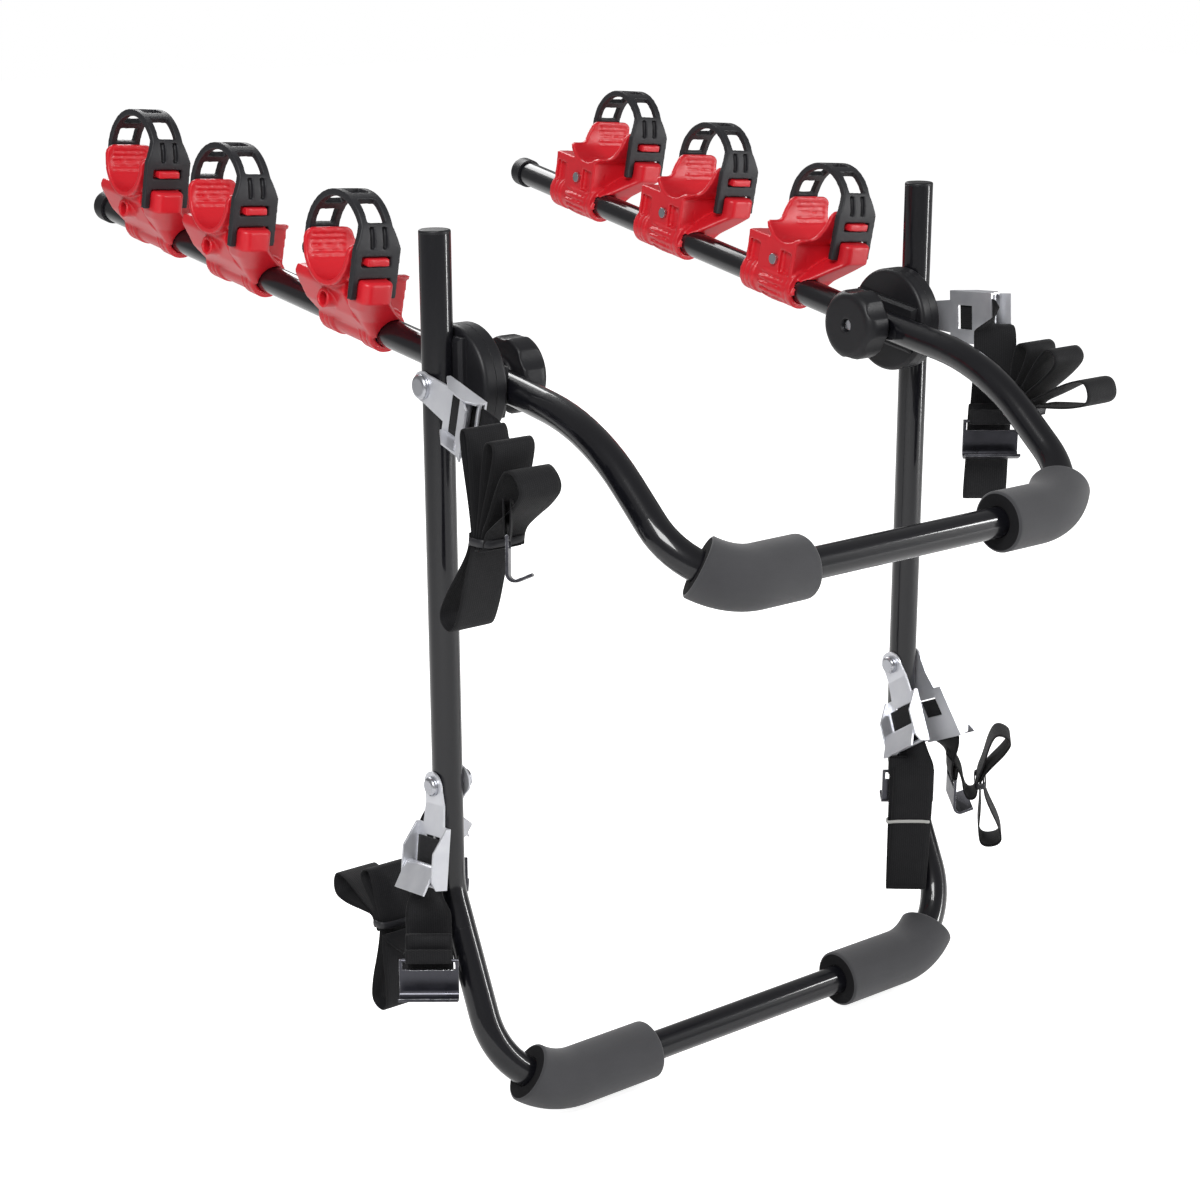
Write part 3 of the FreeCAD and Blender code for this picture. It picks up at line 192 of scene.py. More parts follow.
def rubbed_edge_group() -> Tree:
    """Group for edges that handling has rubbed: compares bevelled with true normals.

    Returns:
        A tree with a Mask output.
    """
    edge_gain = 6.0
    gap_below, gap_gain = 0.38, 4.0      # noise under the first leaves the edge unworn
    tree, given, result = new_group("rubbed_edge", {"Width": 0.0012, "Amount": 1.0, "Break Scale": 160.0},
                                    ("Mask",))
    calc = partial(math_node, tree)
    bevel = tree.nodes.new("ShaderNodeBevel")
    bevel.samples = BEVEL_SAMPLES
    tree.links.new(given["Width"], bevel.inputs["Radius"])
    shape = tree.nodes.new("ShaderNodeNewGeometry")
    dot = tree.nodes.new("ShaderNodeVectorMath")
    dot.operation = "DOT_PRODUCT"
    tree.links.new(bevel.outputs[0], dot.inputs[0])
    tree.links.new(shape.outputs["Normal"], dot.inputs[1])
    steep = calc("MULTIPLY", calc("SUBTRACT", 1.0, dot.outputs["Value"]), edge_gain, True)
    broken = noise_node(tree, object_coordinates(tree), given["Break Scale"], 4.0, 0.6)
    sharp = calc("MULTIPLY", calc("SUBTRACT", broken, gap_below), gap_gain, True)
    mask = calc("MULTIPLY", calc("MULTIPLY", steep, sharp), given["Amount"], True)
    tree.links.new(mask, result["Mask"])
    return tree


def woven_strap_group() -> Tree:
    """Group for the weave of flat webbing, from lengths along and across the strap.

    Returns:
        A tree with a Height output, an Edge output and an output that masks the painted highlight on the
        crowns of the threads.
    """
    lean = 0.9                           # how far a pick leans over one rib
    rib_power, pick_power = 0.5, 0.6
    edge_width, edge_gain = 0.0032, 900.0
    tree, given, result = new_group("woven_strap", {"Width": 0.042, "Rib": 0.0021, "Pick": 0.0016},
                                    ("Height", "Thread", "Edge"))
    calc = partial(math_node, tree)
    split = tree.nodes.new("ShaderNodeSeparateXYZ")
    tree.links.new(tree.nodes.new("ShaderNodeTexCoord").outputs["UV"], split.inputs[0])
    across, along = split.outputs["X"], split.outputs["Y"]
    ribs = calc("DIVIDE", across, given["Rib"])
    rib = calc("PINGPONG", ribs, 0.5)
    shift = calc("MULTIPLY", calc("MODULO", calc("FLOOR", ribs), 2.0), 0.5)
    row = calc("ADD", calc("DIVIDE", along, given["Pick"]), shift)
    pick = calc("PINGPONG", calc("ADD", row, calc("MULTIPLY", rib, lean)), 0.5)
    rib_full, pick_full = calc("MULTIPLY", rib, 2.0), calc("MULTIPLY", pick, 2.0)
    height = calc("MULTIPLY", calc("POWER", rib_full, rib_power), calc("POWER", pick_full, pick_power))
    tree.links.new(height, result["Height"])
    # mask of the painted highlight: lighter on the crowns of the threads, painted shade in the hollows
    # between them
    tree.links.new(calc("MULTIPLY", rib_full, pick_full), result["Thread"])
    middle = calc("MULTIPLY", given["Width"], 0.5)
    off = calc("ABSOLUTE", calc("SUBTRACT", across, middle))
    past = calc("SUBTRACT", off, calc("SUBTRACT", middle, edge_width))
    tree.links.new(calc("MULTIPLY", past, edge_gain, True), result["Edge"])
    return tree


class Effects:
    """The shader groups, each built once."""

    def __init__(self) -> None:
        """Build every group."""
        self.grain = moulded_grain_group()
        self.edge = rubbed_edge_group()
        self.weave = woven_strap_group()


def place_group(material: Material, tree: Tree, **values: float) -> Node:
    """Put a group in a material with its own input values."""
    node = material.node_tree.nodes.new("ShaderNodeGroup")
    node.node_tree = tree
    set_inputs(node, **values)
    return node


def shaded(name: str, colour: Triple) -> tuple[Material, Node]:
    """Make a material of a linear base colour; hand back it and its Principled shader."""
    material = bpy.data.materials.new(name)
    material.use_nodes = True
    shader = part_of(material.node_tree, "ShaderNodeBsdfPrincipled")
    shader.inputs["Base Color"].default_value = (*colour, 1.0)
    material.diffuse_color = (*colour, 1.0)
    return material, shader


def mix_colours(tree: Tree, mask, low, high) -> Socket:
    """Blend two colours, each a socket or three numbers, by a mask.

    Args:
        tree: Tree that gets the node.
        mask: Socket between 0 and 1.
        low: Colour where the mask is 0.
        high: Colour where the mask is 1.

    Returns:
        The blended colour's socket.
    """
    node = tree.nodes.new("ShaderNodeMix")
    node.data_type = "RGBA"
    tree.links.new(mask, node.inputs["Factor"])
    for socket, value in ((node.inputs[6], low), (node.inputs[7], high)):
        if isinstance(value, Socket):
            tree.links.new(value, socket)
        else:
            socket.default_value = (*value, 1.0)
    return node.outputs[2]


def bump(material: Material, height: Socket, distance: float, strength: float = 1.0,
         under: Socket | None = None) -> Socket:
    """Turn a height into a normal.

    Args:
        material: Material that gets the node.
        height: Height socket.
        distance: Depth of the relief.
        strength: How much of it shows.
        under: Normal that it lies on, if any.

    Returns:
        The normal's socket.
    """
    tree = material.node_tree
    node = tree.nodes.new("ShaderNodeBump")
    set_inputs(node, Distance=distance, Strength=strength)
    tree.links.new(height, node.inputs["Height"])
    if under is not None:
        tree.links.new(under, node.inputs["Normal"])
    return node.outputs["Normal"]


def soft_edges(material: Material, radius: float) -> Socket:
    """Normal socket that rounds a piece's edges by a radius, in shading alone."""
    node = material.node_tree.nodes.new("ShaderNodeBevel")
    node.samples = BEVEL_SAMPLES
    set_inputs(node, Radius=radius)
    return node.outputs["Normal"]


def add_skin(material: Material, shader: Node, colour: Socket, grain: Node, relief: float,
             radius: float) -> None:
    """Give a shader its colour, its uneven gloss and a fine relief over soft edges.

    Args:
        material: Material of the shader.
        shader: Its Principled shader.
        colour: Colour socket.
        grain: Node of the moulded grain.
        relief: Depth of the grain.
        radius: Radius of the edges.
    """
    links = material.node_tree.links
    links.new(colour, shader.inputs["Base Color"])
    links.new(grain.outputs["Roughness"], shader.inputs["Roughness"])
    normal = bump(material, grain.outputs["Height"], relief, 1.0, soft_edges(material, radius))
    links.new(normal, shader.inputs["Normal"])


@dataclass(frozen=True)
class MouldedFinish:
    """Plastic, rubber, foam or powder coat with a fine skin and lightly rubbed edges."""

    name: str
    colour: Triple
    rubbed: Triple
    roughness: float
    spread: float = 0.1
    grain_scale: float = 900.0
    patch_scale: float = 28.0
    relief: float = 0.00004
    mottle: float = 0.12
    rub_width: float = 0.0012
    rub_amount: float = 0.35
    edge_radius: float = 0.0006
    coat: float = 0.0
    coat_roughness: float = 0.15
    sheen: float = 0.0
    specular: float = 0.5

    def build(self, effects: Effects) -> Material:
        """Make the material.

        Args:
            effects: The shared shader groups.

        Returns:
            The finished material.
        """
        material, shader = shaded(self.name, self.colour)
        tree = material.node_tree
        grain = place_group(
            material, effects.grain, Scale=self.grain_scale, Patch_Scale=self.patch_scale,
            Roughness=self.roughness, Roughness_Spread=self.spread,
        )
        edge = place_group(material, effects.edge, Width=self.rub_width, Amount=self.rub_amount)
        dark = tuple(c * (1.0 - self.mottle) for c in self.colour)
        light = tuple(min(1.0, c * (1.0 + self.mottle)) for c in self.colour)
        body = mix_colours(tree, grain.outputs["Mottle"], dark, light)
        worn = mix_colours(tree, edge.outputs["Mask"], body, self.rubbed)
        add_skin(material, shader, worn, grain, self.relief, self.edge_radius)
        set_inputs(shader, Coat_Weight=self.coat, Coat_Roughness=self.coat_roughness,
                   Sheen_Weight=self.sheen, Specular_IOR_Level=self.specular)
        return material


@dataclass(frozen=True)
class PlatedFinish:
    """Zinc-plated sheet or bolt steel, with cloudy plating and brushed roughness."""

    name: str
    colour: Triple
    dull: Triple
    roughness: float
    metallic: float = 1.0
    bright: Triple = (0.92, 0.93, 0.95)      # edges where the plating is rubbed
    relief: float = 0.00003
    edge_radius: float = 0.0005

    def build(self, effects: Effects) -> Material:
        """Make the material.

        Args:
            effects: The shared shader groups.

        Returns:
            The finished material.
        """
        material, shader = shaded(self.name, self.colour)
        tree = material.node_tree
        grain = place_group(
            material, effects.grain, Scale=700.0, Patch_Scale=60.0,
            Roughness=self.roughness, Roughness_Spread=0.3,
        )
        edge = place_group(material, effects.edge, Width=0.0009, Amount=0.6)
        cloud = mix_colours(tree, grain.outputs["Mottle"], self.dull, self.colour)
        plating = mix_colours(tree, edge.outputs["Mask"], cloud, self.bright)
        add_skin(material, shader, plating, grain, self.relief, self.edge_radius)
        set_inputs(shader, Metallic=self.metallic)
        return material


@dataclass(frozen=True)
class WebbingFinish:
    """Black woven strap, with ribs along it, a painted highlight on the crowns of its threads and none near
    its edges.
    """

    name: str
    colour: Triple
    # colour of the painted highlight on the crowns of the threads
    lit: Triple
    width: float
    fuzz: float = 0.00005
    relief: float = 0.0002

    def build(self, effects: Effects) -> Material:
        """Make the material.

        Args:
            effects: The shared shader groups.

        Returns:
            The finished material.
        """
        material, shader = shaded(self.name, self.colour)
        tree = material.node_tree
        weave = place_group(material, effects.weave, Width=self.width)
        grain = place_group(
            material, effects.grain, Scale=2400.0, Patch_Scale=45.0, Roughness=0.72, Roughness_Spread=0.2,
        )
        # painted highlight on the crowns of the threads, taken back to the base colour near the edges
        painted_highlight = mix_colours(tree, weave.outputs["Thread"], self.colour, self.lit)
        edged = mix_colours(tree, weave.outputs["Edge"], painted_highlight, self.colour)
        tree.links.new(edged, shader.inputs["Base Color"])
        tree.links.new(grain.outputs["Roughness"], shader.inputs["Roughness"])
        fuzz = bump(material, grain.outputs["Height"], self.fuzz)
        normal = bump(material, weave.outputs["Height"], self.relief, 0.8, fuzz)
        tree.links.new(normal, shader.inputs["Normal"])
        set_inputs(shader, Specular_IOR_Level=0.25, Sheen_Weight=0.06, Sheen_Roughness=0.5)
        return material


class Finishes:
    """All materials of the carrier."""

    def __init__(self, effects: Effects) -> None:
        """Build each finish.

        Args:
            effects: The shared shader groups.
        """
        black = (0.005, 0.005, 0.007)
        self.tube = MouldedFinish(
            "gloss_powder_coat", black, (0.04, 0.04, 0.045), 0.30, spread=0.08, grain_scale=420.0,
            relief=0.00004, rub_amount=0.25, coat=0.8, coat_roughness=0.07, specular=0.2,
        ).build(effects)
        self.foam = MouldedFinish(
            "closed_cell_foam", (0.050, 0.050, 0.054), (0.08, 0.08, 0.085), 0.85, grain_scale=1500.0,
            relief=0.00016, mottle=0.18, rub_amount=0.2, sheen=0.25, specular=0.3,
        ).build(effects)
        # ends of the sleeves: painted shade, the same foam coloured much darker
        self.foam_cut = MouldedFinish(
            "foam_cut_face", (0.008, 0.008, 0.009), (0.03, 0.03, 0.03), 0.95, grain_scale=1100.0,
            relief=0.00022, mottle=0.3, rub_amount=0.1, specular=0.2,
        ).build(effects)
        self.plastic = MouldedFinish(
            "grained_black_plastic", (0.012, 0.012, 0.014), (0.05, 0.05, 0.055), 0.42, grain_scale=1400.0,
            relief=0.00005, specular=0.35,
        ).build(effects)
        self.red = MouldedFinish(
            "red_nylon", (0.62, 0.012, 0.022), (0.78, 0.10, 0.10), 0.34, spread=0.12, grain_scale=1100.0,
            relief=0.00003, mottle=0.08, rub_amount=0.35, edge_radius=0.0009,
        ).build(effects)
        self.rubber = MouldedFinish(
            "strap_rubber", (0.014, 0.014, 0.017), (0.05, 0.05, 0.055), 0.5, grain_scale=1300.0,
            relief=0.00004, rub_amount=0.3, edge_radius=0.0009,
        ).build(effects)
        self.pale = MouldedFinish(
            "pale_band", (0.42, 0.42, 0.40), (0.5, 0.5, 0.5), 0.6, grain_scale=1300.0, relief=0.00003,
        ).build(effects)
        self.zinc = PlatedFinish(
            "zinc_plate", (0.80, 0.81, 0.84), (0.62, 0.63, 0.68), 0.36, metallic=0.65,
        ).build(effects)
        self.bolt = PlatedFinish(
            "bolt_steel", (0.62, 0.63, 0.66), (0.42, 0.43, 0.47), 0.3,
        ).build(effects)
        self.hook = PlatedFinish(
            "dark_plated_steel", (0.10, 0.10, 0.115), (0.06, 0.06, 0.07), 0.32,
        ).build(effects)
        # second colour: the painted highlight on the crowns of the threads
        self.webbing = WebbingFinish(
            "woven_webbing", (0.004, 0.004, 0.005), (0.016, 0.016, 0.018), 0.042,
        ).build(effects)


def dress(names: list[str], material: Material) -> None:
    """Give the named CAD nodes a material."""
    for name in names:
        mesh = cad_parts[name].data
        mesh.materials.clear()
        mesh.materials.append(material)
        log.info("dressed %s with %s", name, material.name)


def centre_of(node: str) -> Vector:
    """Middle of a CAD node's box."""
    low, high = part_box(node)
    return (Vector(low) + Vector(high)) / 2


def linked(name: str, data: bpy.types.ID) -> bpy.types.Object:
    """Make an object of some data and put it in the scene."""
    found = bpy.data.objects.new(name, data)
    bpy.context.scene.collection.objects.link(found)
    return found


def add_piece(name: str, mesh: Mesh, body: str,
              replaced: tuple[str, ...] = ()) -> bpy.types.Object:
    """Link a mesh as a piece that rides on a body.

    Args:
        name: Name of the piece.
        mesh: Its mesh, with its materials.
        body: CAD body that carries it.
        replaced: CAD nodes that it stands for.

    Returns:
        The new object.
    """
    piece = linked(name, mesh)
    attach(piece, body)
    if replaced:
        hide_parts(*replaced)
    log.info("piece %s on %s, %d faces", name, body, len(mesh.polygons))
    return piece


def smooth_mesh(name: str, vertices: list[Vector], faces: list[tuple[int, ...]],
                *materials: Material) -> Mesh:
    """Make a smooth-shaded mesh.

    Args:
        name: Name of the mesh.
        vertices: Its points.
        faces: Its faces.
        materials: Its materials, in the order of their indices.

    Returns:
        The mesh.
    """
    mesh = bpy.data.meshes.new(name)
    mesh.from_pydata([tuple(v) for v in vertices], [], faces)
    mesh.polygons.foreach_set("use_smooth", [True] * len(faces))
    for material in materials:
        mesh.materials.append(material)
    mesh.update()
    return mesh


def swept_faces(rows: int, size: int, closed: bool = False, first: int = 0) -> list[tuple[int, ...]]:
    """Faces between rows of points, each row a closed ring.

    Args:
        rows: Number of rows.
        size: Points in a row.
        closed: Whether the last row joins the first.
        first: Number of the first point.

    Returns:
        The faces, row after row.
    """
    faces = []
    for i in range(rows if closed else rows - 1):
        here, after = first + i * size, first + (i + 1) % rows * size
        for k in range(size):
            n = (k + 1) % size
            faces.append((here + k, here + n, after + n, after + k))
    return faces


def moulded_copy(node: str, name: str, voxel: float, passes: int, keep: float,
                 material: Material, extra: Mesh | None = None) -> Mesh:
    """Copy a CAD node's mesh and round every edge, as a mould would.

    Args:
        node: CAD node to copy.
        name: Name of the new mesh.
        voxel: Size of the cells of the new skin.
        passes: Smoothing passes.
        keep: Share of the faces that stay.
        material: Finish of the new mesh.
        extra: Closed forms to join to it first.

    Returns:
        The rounded mesh.
    """
    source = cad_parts[node].data.copy()
    if extra is not None:
        joined = bmesh.new()
        joined.from_mesh(source)
        joined.from_mesh(extra)
        joined.to_mesh(source)
        joined.free()
    scratch = linked(name, source)
    skin = scratch.modifiers.new("skin", "REMESH")
    skin.mode = "VOXEL"
    skin.voxel_size = voxel
    soften = scratch.modifiers.new("soften", "SMOOTH")
    soften.factor = 0.5
    soften.iterations = passes
    thin = scratch.modifiers.new("thin", "DECIMATE")
    thin.ratio = keep
    mesh = bpy.data.meshes.new_from_object(scratch.evaluated_get(bpy.context.evaluated_depsgraph_get()))
    bpy.data.objects.remove(scratch)
    mesh.name = name
    mesh.materials.clear()
    mesh.materials.append(material)
    mesh.polygons.foreach_set("material_index", [0] * len(mesh.polygons))
    mesh.polygons.foreach_set("use_smooth", [True] * len(mesh.polygons))
    return mesh


def rounded_line(points: list[Vector], per_corner: int = 10) -> list[Vector]:
    """Smooth line of a quadratic B-spline with the points as its control points.

    Args:
        points: Control points; the line starts at the first and ends at the last.
        per_corner: Samples round each inner point.

    Returns:
        The line's samples.
    """
    line = [points[0]]
    for i in range(1, len(points) - 1):
        first = (points[i - 1] + points[i]) / 2 if i > 1 else points[0]
        last = (points[i] + points[i + 1]) / 2 if i < len(points) - 2 else points[-1]
        for k in range(1, per_corner + 1):
            t = k / per_corner
            line.append(first * (1 - t) ** 2 + points[i] * (2 * t * (1 - t)) + last * t ** 2)
    return line


def even_line(line: list[Vector], step: float) -> list[Vector]:
    """Divide a line into equal steps.

    Args:
        line: Points of the line.
        step: Wanted distance between samples.

    Returns:
        Samples at equal distances along it.
    """
    lengths = [0.0]
    for a, b in zip(line, line[1:]):
        lengths.append(lengths[-1] + (b - a).length)
    count = max(2, round(lengths[-1] / step))
    samples = []
    at = 0
    for k in range(count + 1):
        want = lengths[-1] * k / count
        while at < len(line) - 2 and lengths[at + 1] < want:
            at += 1
        span = max(lengths[at + 1] - lengths[at], 1e-9)
        samples.append(line[at].lerp(line[at + 1], (want - lengths[at]) / span))
    return samples


def in_plane(origin: Vector, along: Vector, plan: list[Pair], up: Vector = UP) -> list[Vector]:
    """Points of a flat plan, each given by its distances along and up from an origin."""
    return [origin + along * a + up * b for a, b in plan]


def turned(v: Vector, degrees: float) -> Vector:
    """Turn a direction about the vertical."""
    return Matrix.Rotation(math.radians(degrees), 3, "Z") @ v


@dataclass
class Ribbon:
    """Flat webbing along a line, with its width across it."""

    line: list[Vector]
    widths: list[Vector]     # direction of the width at the start and at the end
    width: float = 0.042
    thickness: float = 0.0015
    turn_from: float = 0.0   # distances along the line between which the width turns
    turn_to: float = 0.001
    columns: int = 9
    step: float = 0.0018
    flat: float = 0.975      # share of the width that the two faces take
    falls_from: float = 0.46     # share from the middle where a face starts to thin

    def length(self) -> float:
        """Length of the middle line."""
        return sum((b - a).length for a, b in zip(self.line, self.line[1:]))

    def direction(self, along: float) -> Vector:
        """Direction of the width at a distance along the line."""
        share = min(max((along - self.turn_from) / (self.turn_to - self.turn_from), 0.0), 1.0)
        share = share * share * (3 - 2 * share)
        return self.widths[0].slerp(self.widths[1], share)

    def section(self) -> list[Pair]:
        """Closed cross-section, as shares of the width and of the thickness."""
        upper = []
        for i in range(self.columns):
            share = -0.5 + i / (self.columns - 1)
            upper.append((share * self.flat, 0.5 - 2.0 * max(abs(share) - self.falls_from, 0.0)))
        lower = [(a, -b) for a, b in reversed(upper)]
        return [(-0.5, 0.0)] + upper + [(0.5, 0.0)] + lower

    def mesh(self, name: str, material: Material) -> Mesh:
        """Sweep the section along the line, with UVs in metres.

        Args:
            name: Name of the mesh.
            material: Finish of the webbing.

        Returns:
            The ribbon's mesh.
        """
        line = even_line(self.line, self.step)
        step = (line[1] - line[0]).length
        section = self.section()
        count = len(section)
        vertices = []
        for i, here in enumerate(line):
            ahead = (line[min(i + 1, len(line) - 1)] - line[max(i - 1, 0)]).normalized()
            wide = self.direction(i * step)
            wide = (wide - ahead * wide.dot(ahead)).normalized()
            up = ahead.cross(wide)
            for a, b in section:
                vertices.append(here + wide * (a * self.width) + up * (b * self.thickness))
        faces = swept_faces(len(line), count)
        last = (len(line) - 1) * count
        faces.append(tuple(range(count)))
        faces.append(tuple(reversed(range(last, last + count))))
        mesh = smooth_mesh(name, vertices, faces, material)
        uv = mesh.uv_layers.new(name="strap").data
        for loop in mesh.loops:
            row, column = divmod(loop.vertex_index, count)
            uv[loop.index].uv = ((section[column][0] + 0.5) * self.width, row * step)
        return mesh


@dataclass
class FoamSleeve:
    """Foam sleeve round a bent tube, with its end faces and the mouths of its bore painted darker as shade.
    """

    name: str
    node: str
    body: str
    run: list[Vector]        # straight start, corner, and a point on the far run
    bend: float              # radius of the tube's corner
    start: float             # distances along the run
    length: float
    outer: float = 0.028
    inner: float = 0.0143
    round_over: float = 0.0022
    bore_deep: float = 0.006     # how far the cut face reaches into the bore
    bore_lip: float = 0.0002
    bore_chamfer: float = 0.0006
    steps: int = 48
    turns: int = 72

    def middle_line(self) -> list[Vector]:
        """Centre line of the sleeve, straight then round the corner.

        Returns:
            Samples a few millimetres apart.
        """
        corner = self.run[1]
        before = (self.run[0] - corner).normalized()
        after = (self.run[2] - corner).normalized()
        turn = math.pi - before.angle(after)
        reach = self.bend * math.tan(turn / 2)
        inward = (before + after).normalized()
        centre = corner + inward * (self.bend / math.cos(turn / 2))
        first = corner + before * reach
        straight = (first - self.run[0]).length
        spin = before.cross(after).normalized()
        line = []
        for k in range(self.steps + 1):
            at = self.start + self.length * k / self.steps
            if at <= straight:
                line.append(self.run[0] - before * at)
            elif at <= straight + self.bend * turn:
                angle = (at - straight) / self.bend
                line.append(centre + Matrix.Rotation(-angle, 3, spin) @ (first - centre))
            else:
                beyond = at - straight - self.bend * turn
                line.append(corner + after * (reach + beyond))
        return line

    def rings(self, line: list[Vector]) -> list[tuple[Vector, float, int]]:
        """Rings of the skin, from the bore's start over the outside to its end.

        Args:
            line: The centre line.

        Returns:
            For each ring its centre, its radius and the face material after it.
        """
        ahead = (line[1] - line[0]).normalized()
        behind = (line[-2] - line[-1]).normalized()
        soft = self.round_over
        end = [(self.bore_deep, self.inner), (self.bore_lip, self.inner),
               (0.0, self.inner + self.bore_chamfer), (0.0, self.outer - soft)]
        rim = len(end) - 1
        for angle in (math.radians(d) for d in (70, 45, 20)):
            end.append((soft * (1 - math.sin(angle)), self.outer - soft * (1 - math.cos(angle))))
        # faces with material 1, the end faces and the mouths of the bore, are painted darker as shade
        result = [(line[0] + ahead * deep, radius, int(i < rim)) for i, (deep, radius) in enumerate(end)]
        result += [(p, self.outer, 0) for p in line[1:-1]]
        result += [(line[-1] + behind * end[i][0], end[i][1], int(i <= rim))
                   for i in reversed(range(len(end)))]
        return result

    def build(self, finishes: Finishes) -> None:
        """Args:
            finishes: Materials of the carrier.
        """
        line = self.middle_line()
        rings = self.rings(line)
        side = (line[1] - line[0]).cross(line[-1] - line[0]).normalized()
        vertices = []
        for centre, radius, _ in rings:
            near = min(range(len(line)), key=lambda k: (line[k] - centre).length)
            ahead = (line[min(near + 1, len(line) - 1)] - line[max(near - 1, 0)]).normalized()
            other = ahead.cross(side)
            for k in range(self.turns):
                a = 2 * math.pi * k / self.turns
                vertices.append(centre + side * (radius * math.cos(a)) + other * (radius * math.sin(a)))
        faces = swept_faces(len(rings), self.turns)
        # the second material paints shade on the ends of the sleeve
        mesh = smooth_mesh(self.name, vertices, faces, finishes.foam, finishes.foam_cut)
        indices = [ring[2] for ring in rings[:-1] for _ in range(self.turns)]
        mesh.polygons.foreach_set("material_index", indices)
        piece = add_piece(self.name, mesh, self.body, (self.node,))


@dataclass
class Frame:
    """Tubes of the carrier as places for the pieces that sit on them."""

    half_track: float = 0.2885
    hub_y: float = 0.086
    hub_z: float = 0.654
    knee_drop: float = 0.470
    arm_half_gap: float = 0.235
    arm_tilt: float = 8.0
    arm_splay: float = 3.4
    hoop_y: float = 0.282
    hoop_drop: float = 0.131
    hoop_straight: float = 0.152
    low_corner: float = 0.080
    hoop_corner: float = 0.068
    pad_inner: float = 0.124
    pad_shift: float = 0.006     # how much nearer the middle the upper sleeves start
    lower_pad: float = 0.140
    upper_pad: float = 0.104
    cradle_lean: float = 4.4
    cradle_near: dict[Side, tuple[float, ...]] = field(default_factory=lambda: {
        Side.LEFT: (0.152, 0.352, 0.512), Side.RIGHT: (0.117, 0.317, 0.491)})

    def arm_axis(self, side: Side) -> Vector:
        """Direction of an arm, away from the vehicle."""
        tilt, splay = math.radians(self.arm_tilt), math.radians(self.arm_splay)
        return Vector((side.value * math.sin(splay), math.cos(tilt) * math.cos(splay),
                       math.sin(tilt) * math.cos(splay)))

    def cradle_place(self, side: Side, index: int) -> Matrix:
        """Matrix from a cradle's own axes, with x outwards, to the frame.

        Args:
            side: Side of the arm.
            index: Number of the cradle from the hub, from 0.

        Returns:
            The matrix.
        """
        along = self.arm_axis(side)
        up = (UP - along * along.z).normalized()
        right = along.cross(up)
        lean = math.radians(self.cradle_lean)
        outwards = (right * math.cos(lean) - up * math.sin(lean)) * side.value
        upwards = right * math.sin(lean) + up * math.cos(lean)
        start = Vector((side.value * self.arm_half_gap, self.hub_y, self.hub_z))
        matrix = Matrix((outwards, along, upwards)).transposed().to_4x4()
        return Matrix.Translation(start + along * self.cradle_near[side][index]) @ matrix

    def sleeves(self) -> list[FoamSleeve]:
        """The four foam sleeves."""
        found = []
        hub = Vector((0, self.hub_y, self.hub_z))
        drop = math.radians(self.arm_tilt)
        for side in Side:
            x = side.value * self.half_track
            knee = (x, self.hub_y, self.hub_z - self.knee_drop)
            run = [Vector(p) for p in ((0, 0, 0), (x, 0, 0), knee)]
            found.append(FoamSleeve("lower_sleeve_" + side.tag, "lower_pad_" + side.tag, "frame", run,
                                    self.low_corner, self.pad_inner, self.lower_pad))
            x = side.value * self.arm_half_gap
            run = [hub + Vector(p) for p in (
                (0, -self.hoop_y, -self.hoop_drop), (x, -self.hoop_y, -self.hoop_drop),
                (x, -self.hoop_straight * math.cos(drop), -self.hoop_straight * math.sin(drop)))]
            found.append(FoamSleeve("upper_sleeve_" + side.tag, "upper_pad_" + side.tag, "swing", run,
                                    self.hoop_corner, self.pad_inner - self.pad_shift, self.upper_pad))
        return found


# outline of a petal: shares of its length and of its half width
PETAL_SHAPE = ((0.30, -0.35), (0.72, -0.95), (1.02, -0.95), (1.02, 0.95), (0.72, 0.95), (0.30, 0.35))
# shares of a strap's lead between which its webbing turns into the fold's plane
TURN_FROM, TURN_TO = 0.7, 1.3
# section of a band: height over the bundle, and share of its half height
BAND_SECTION = ((0.0, -1.0), (0.0008, -0.85), (0.0011, 0.0), (0.0008, 0.85), (0.0, 1.0), (-0.0004, 0.0))


@dataclass
class FanPetal:
    """One open loop of tied webbing."""

    angle: float             # degrees from the vehicle side towards up; negative ones hang
    length: float
    tip: float               # half width of the loop near its end


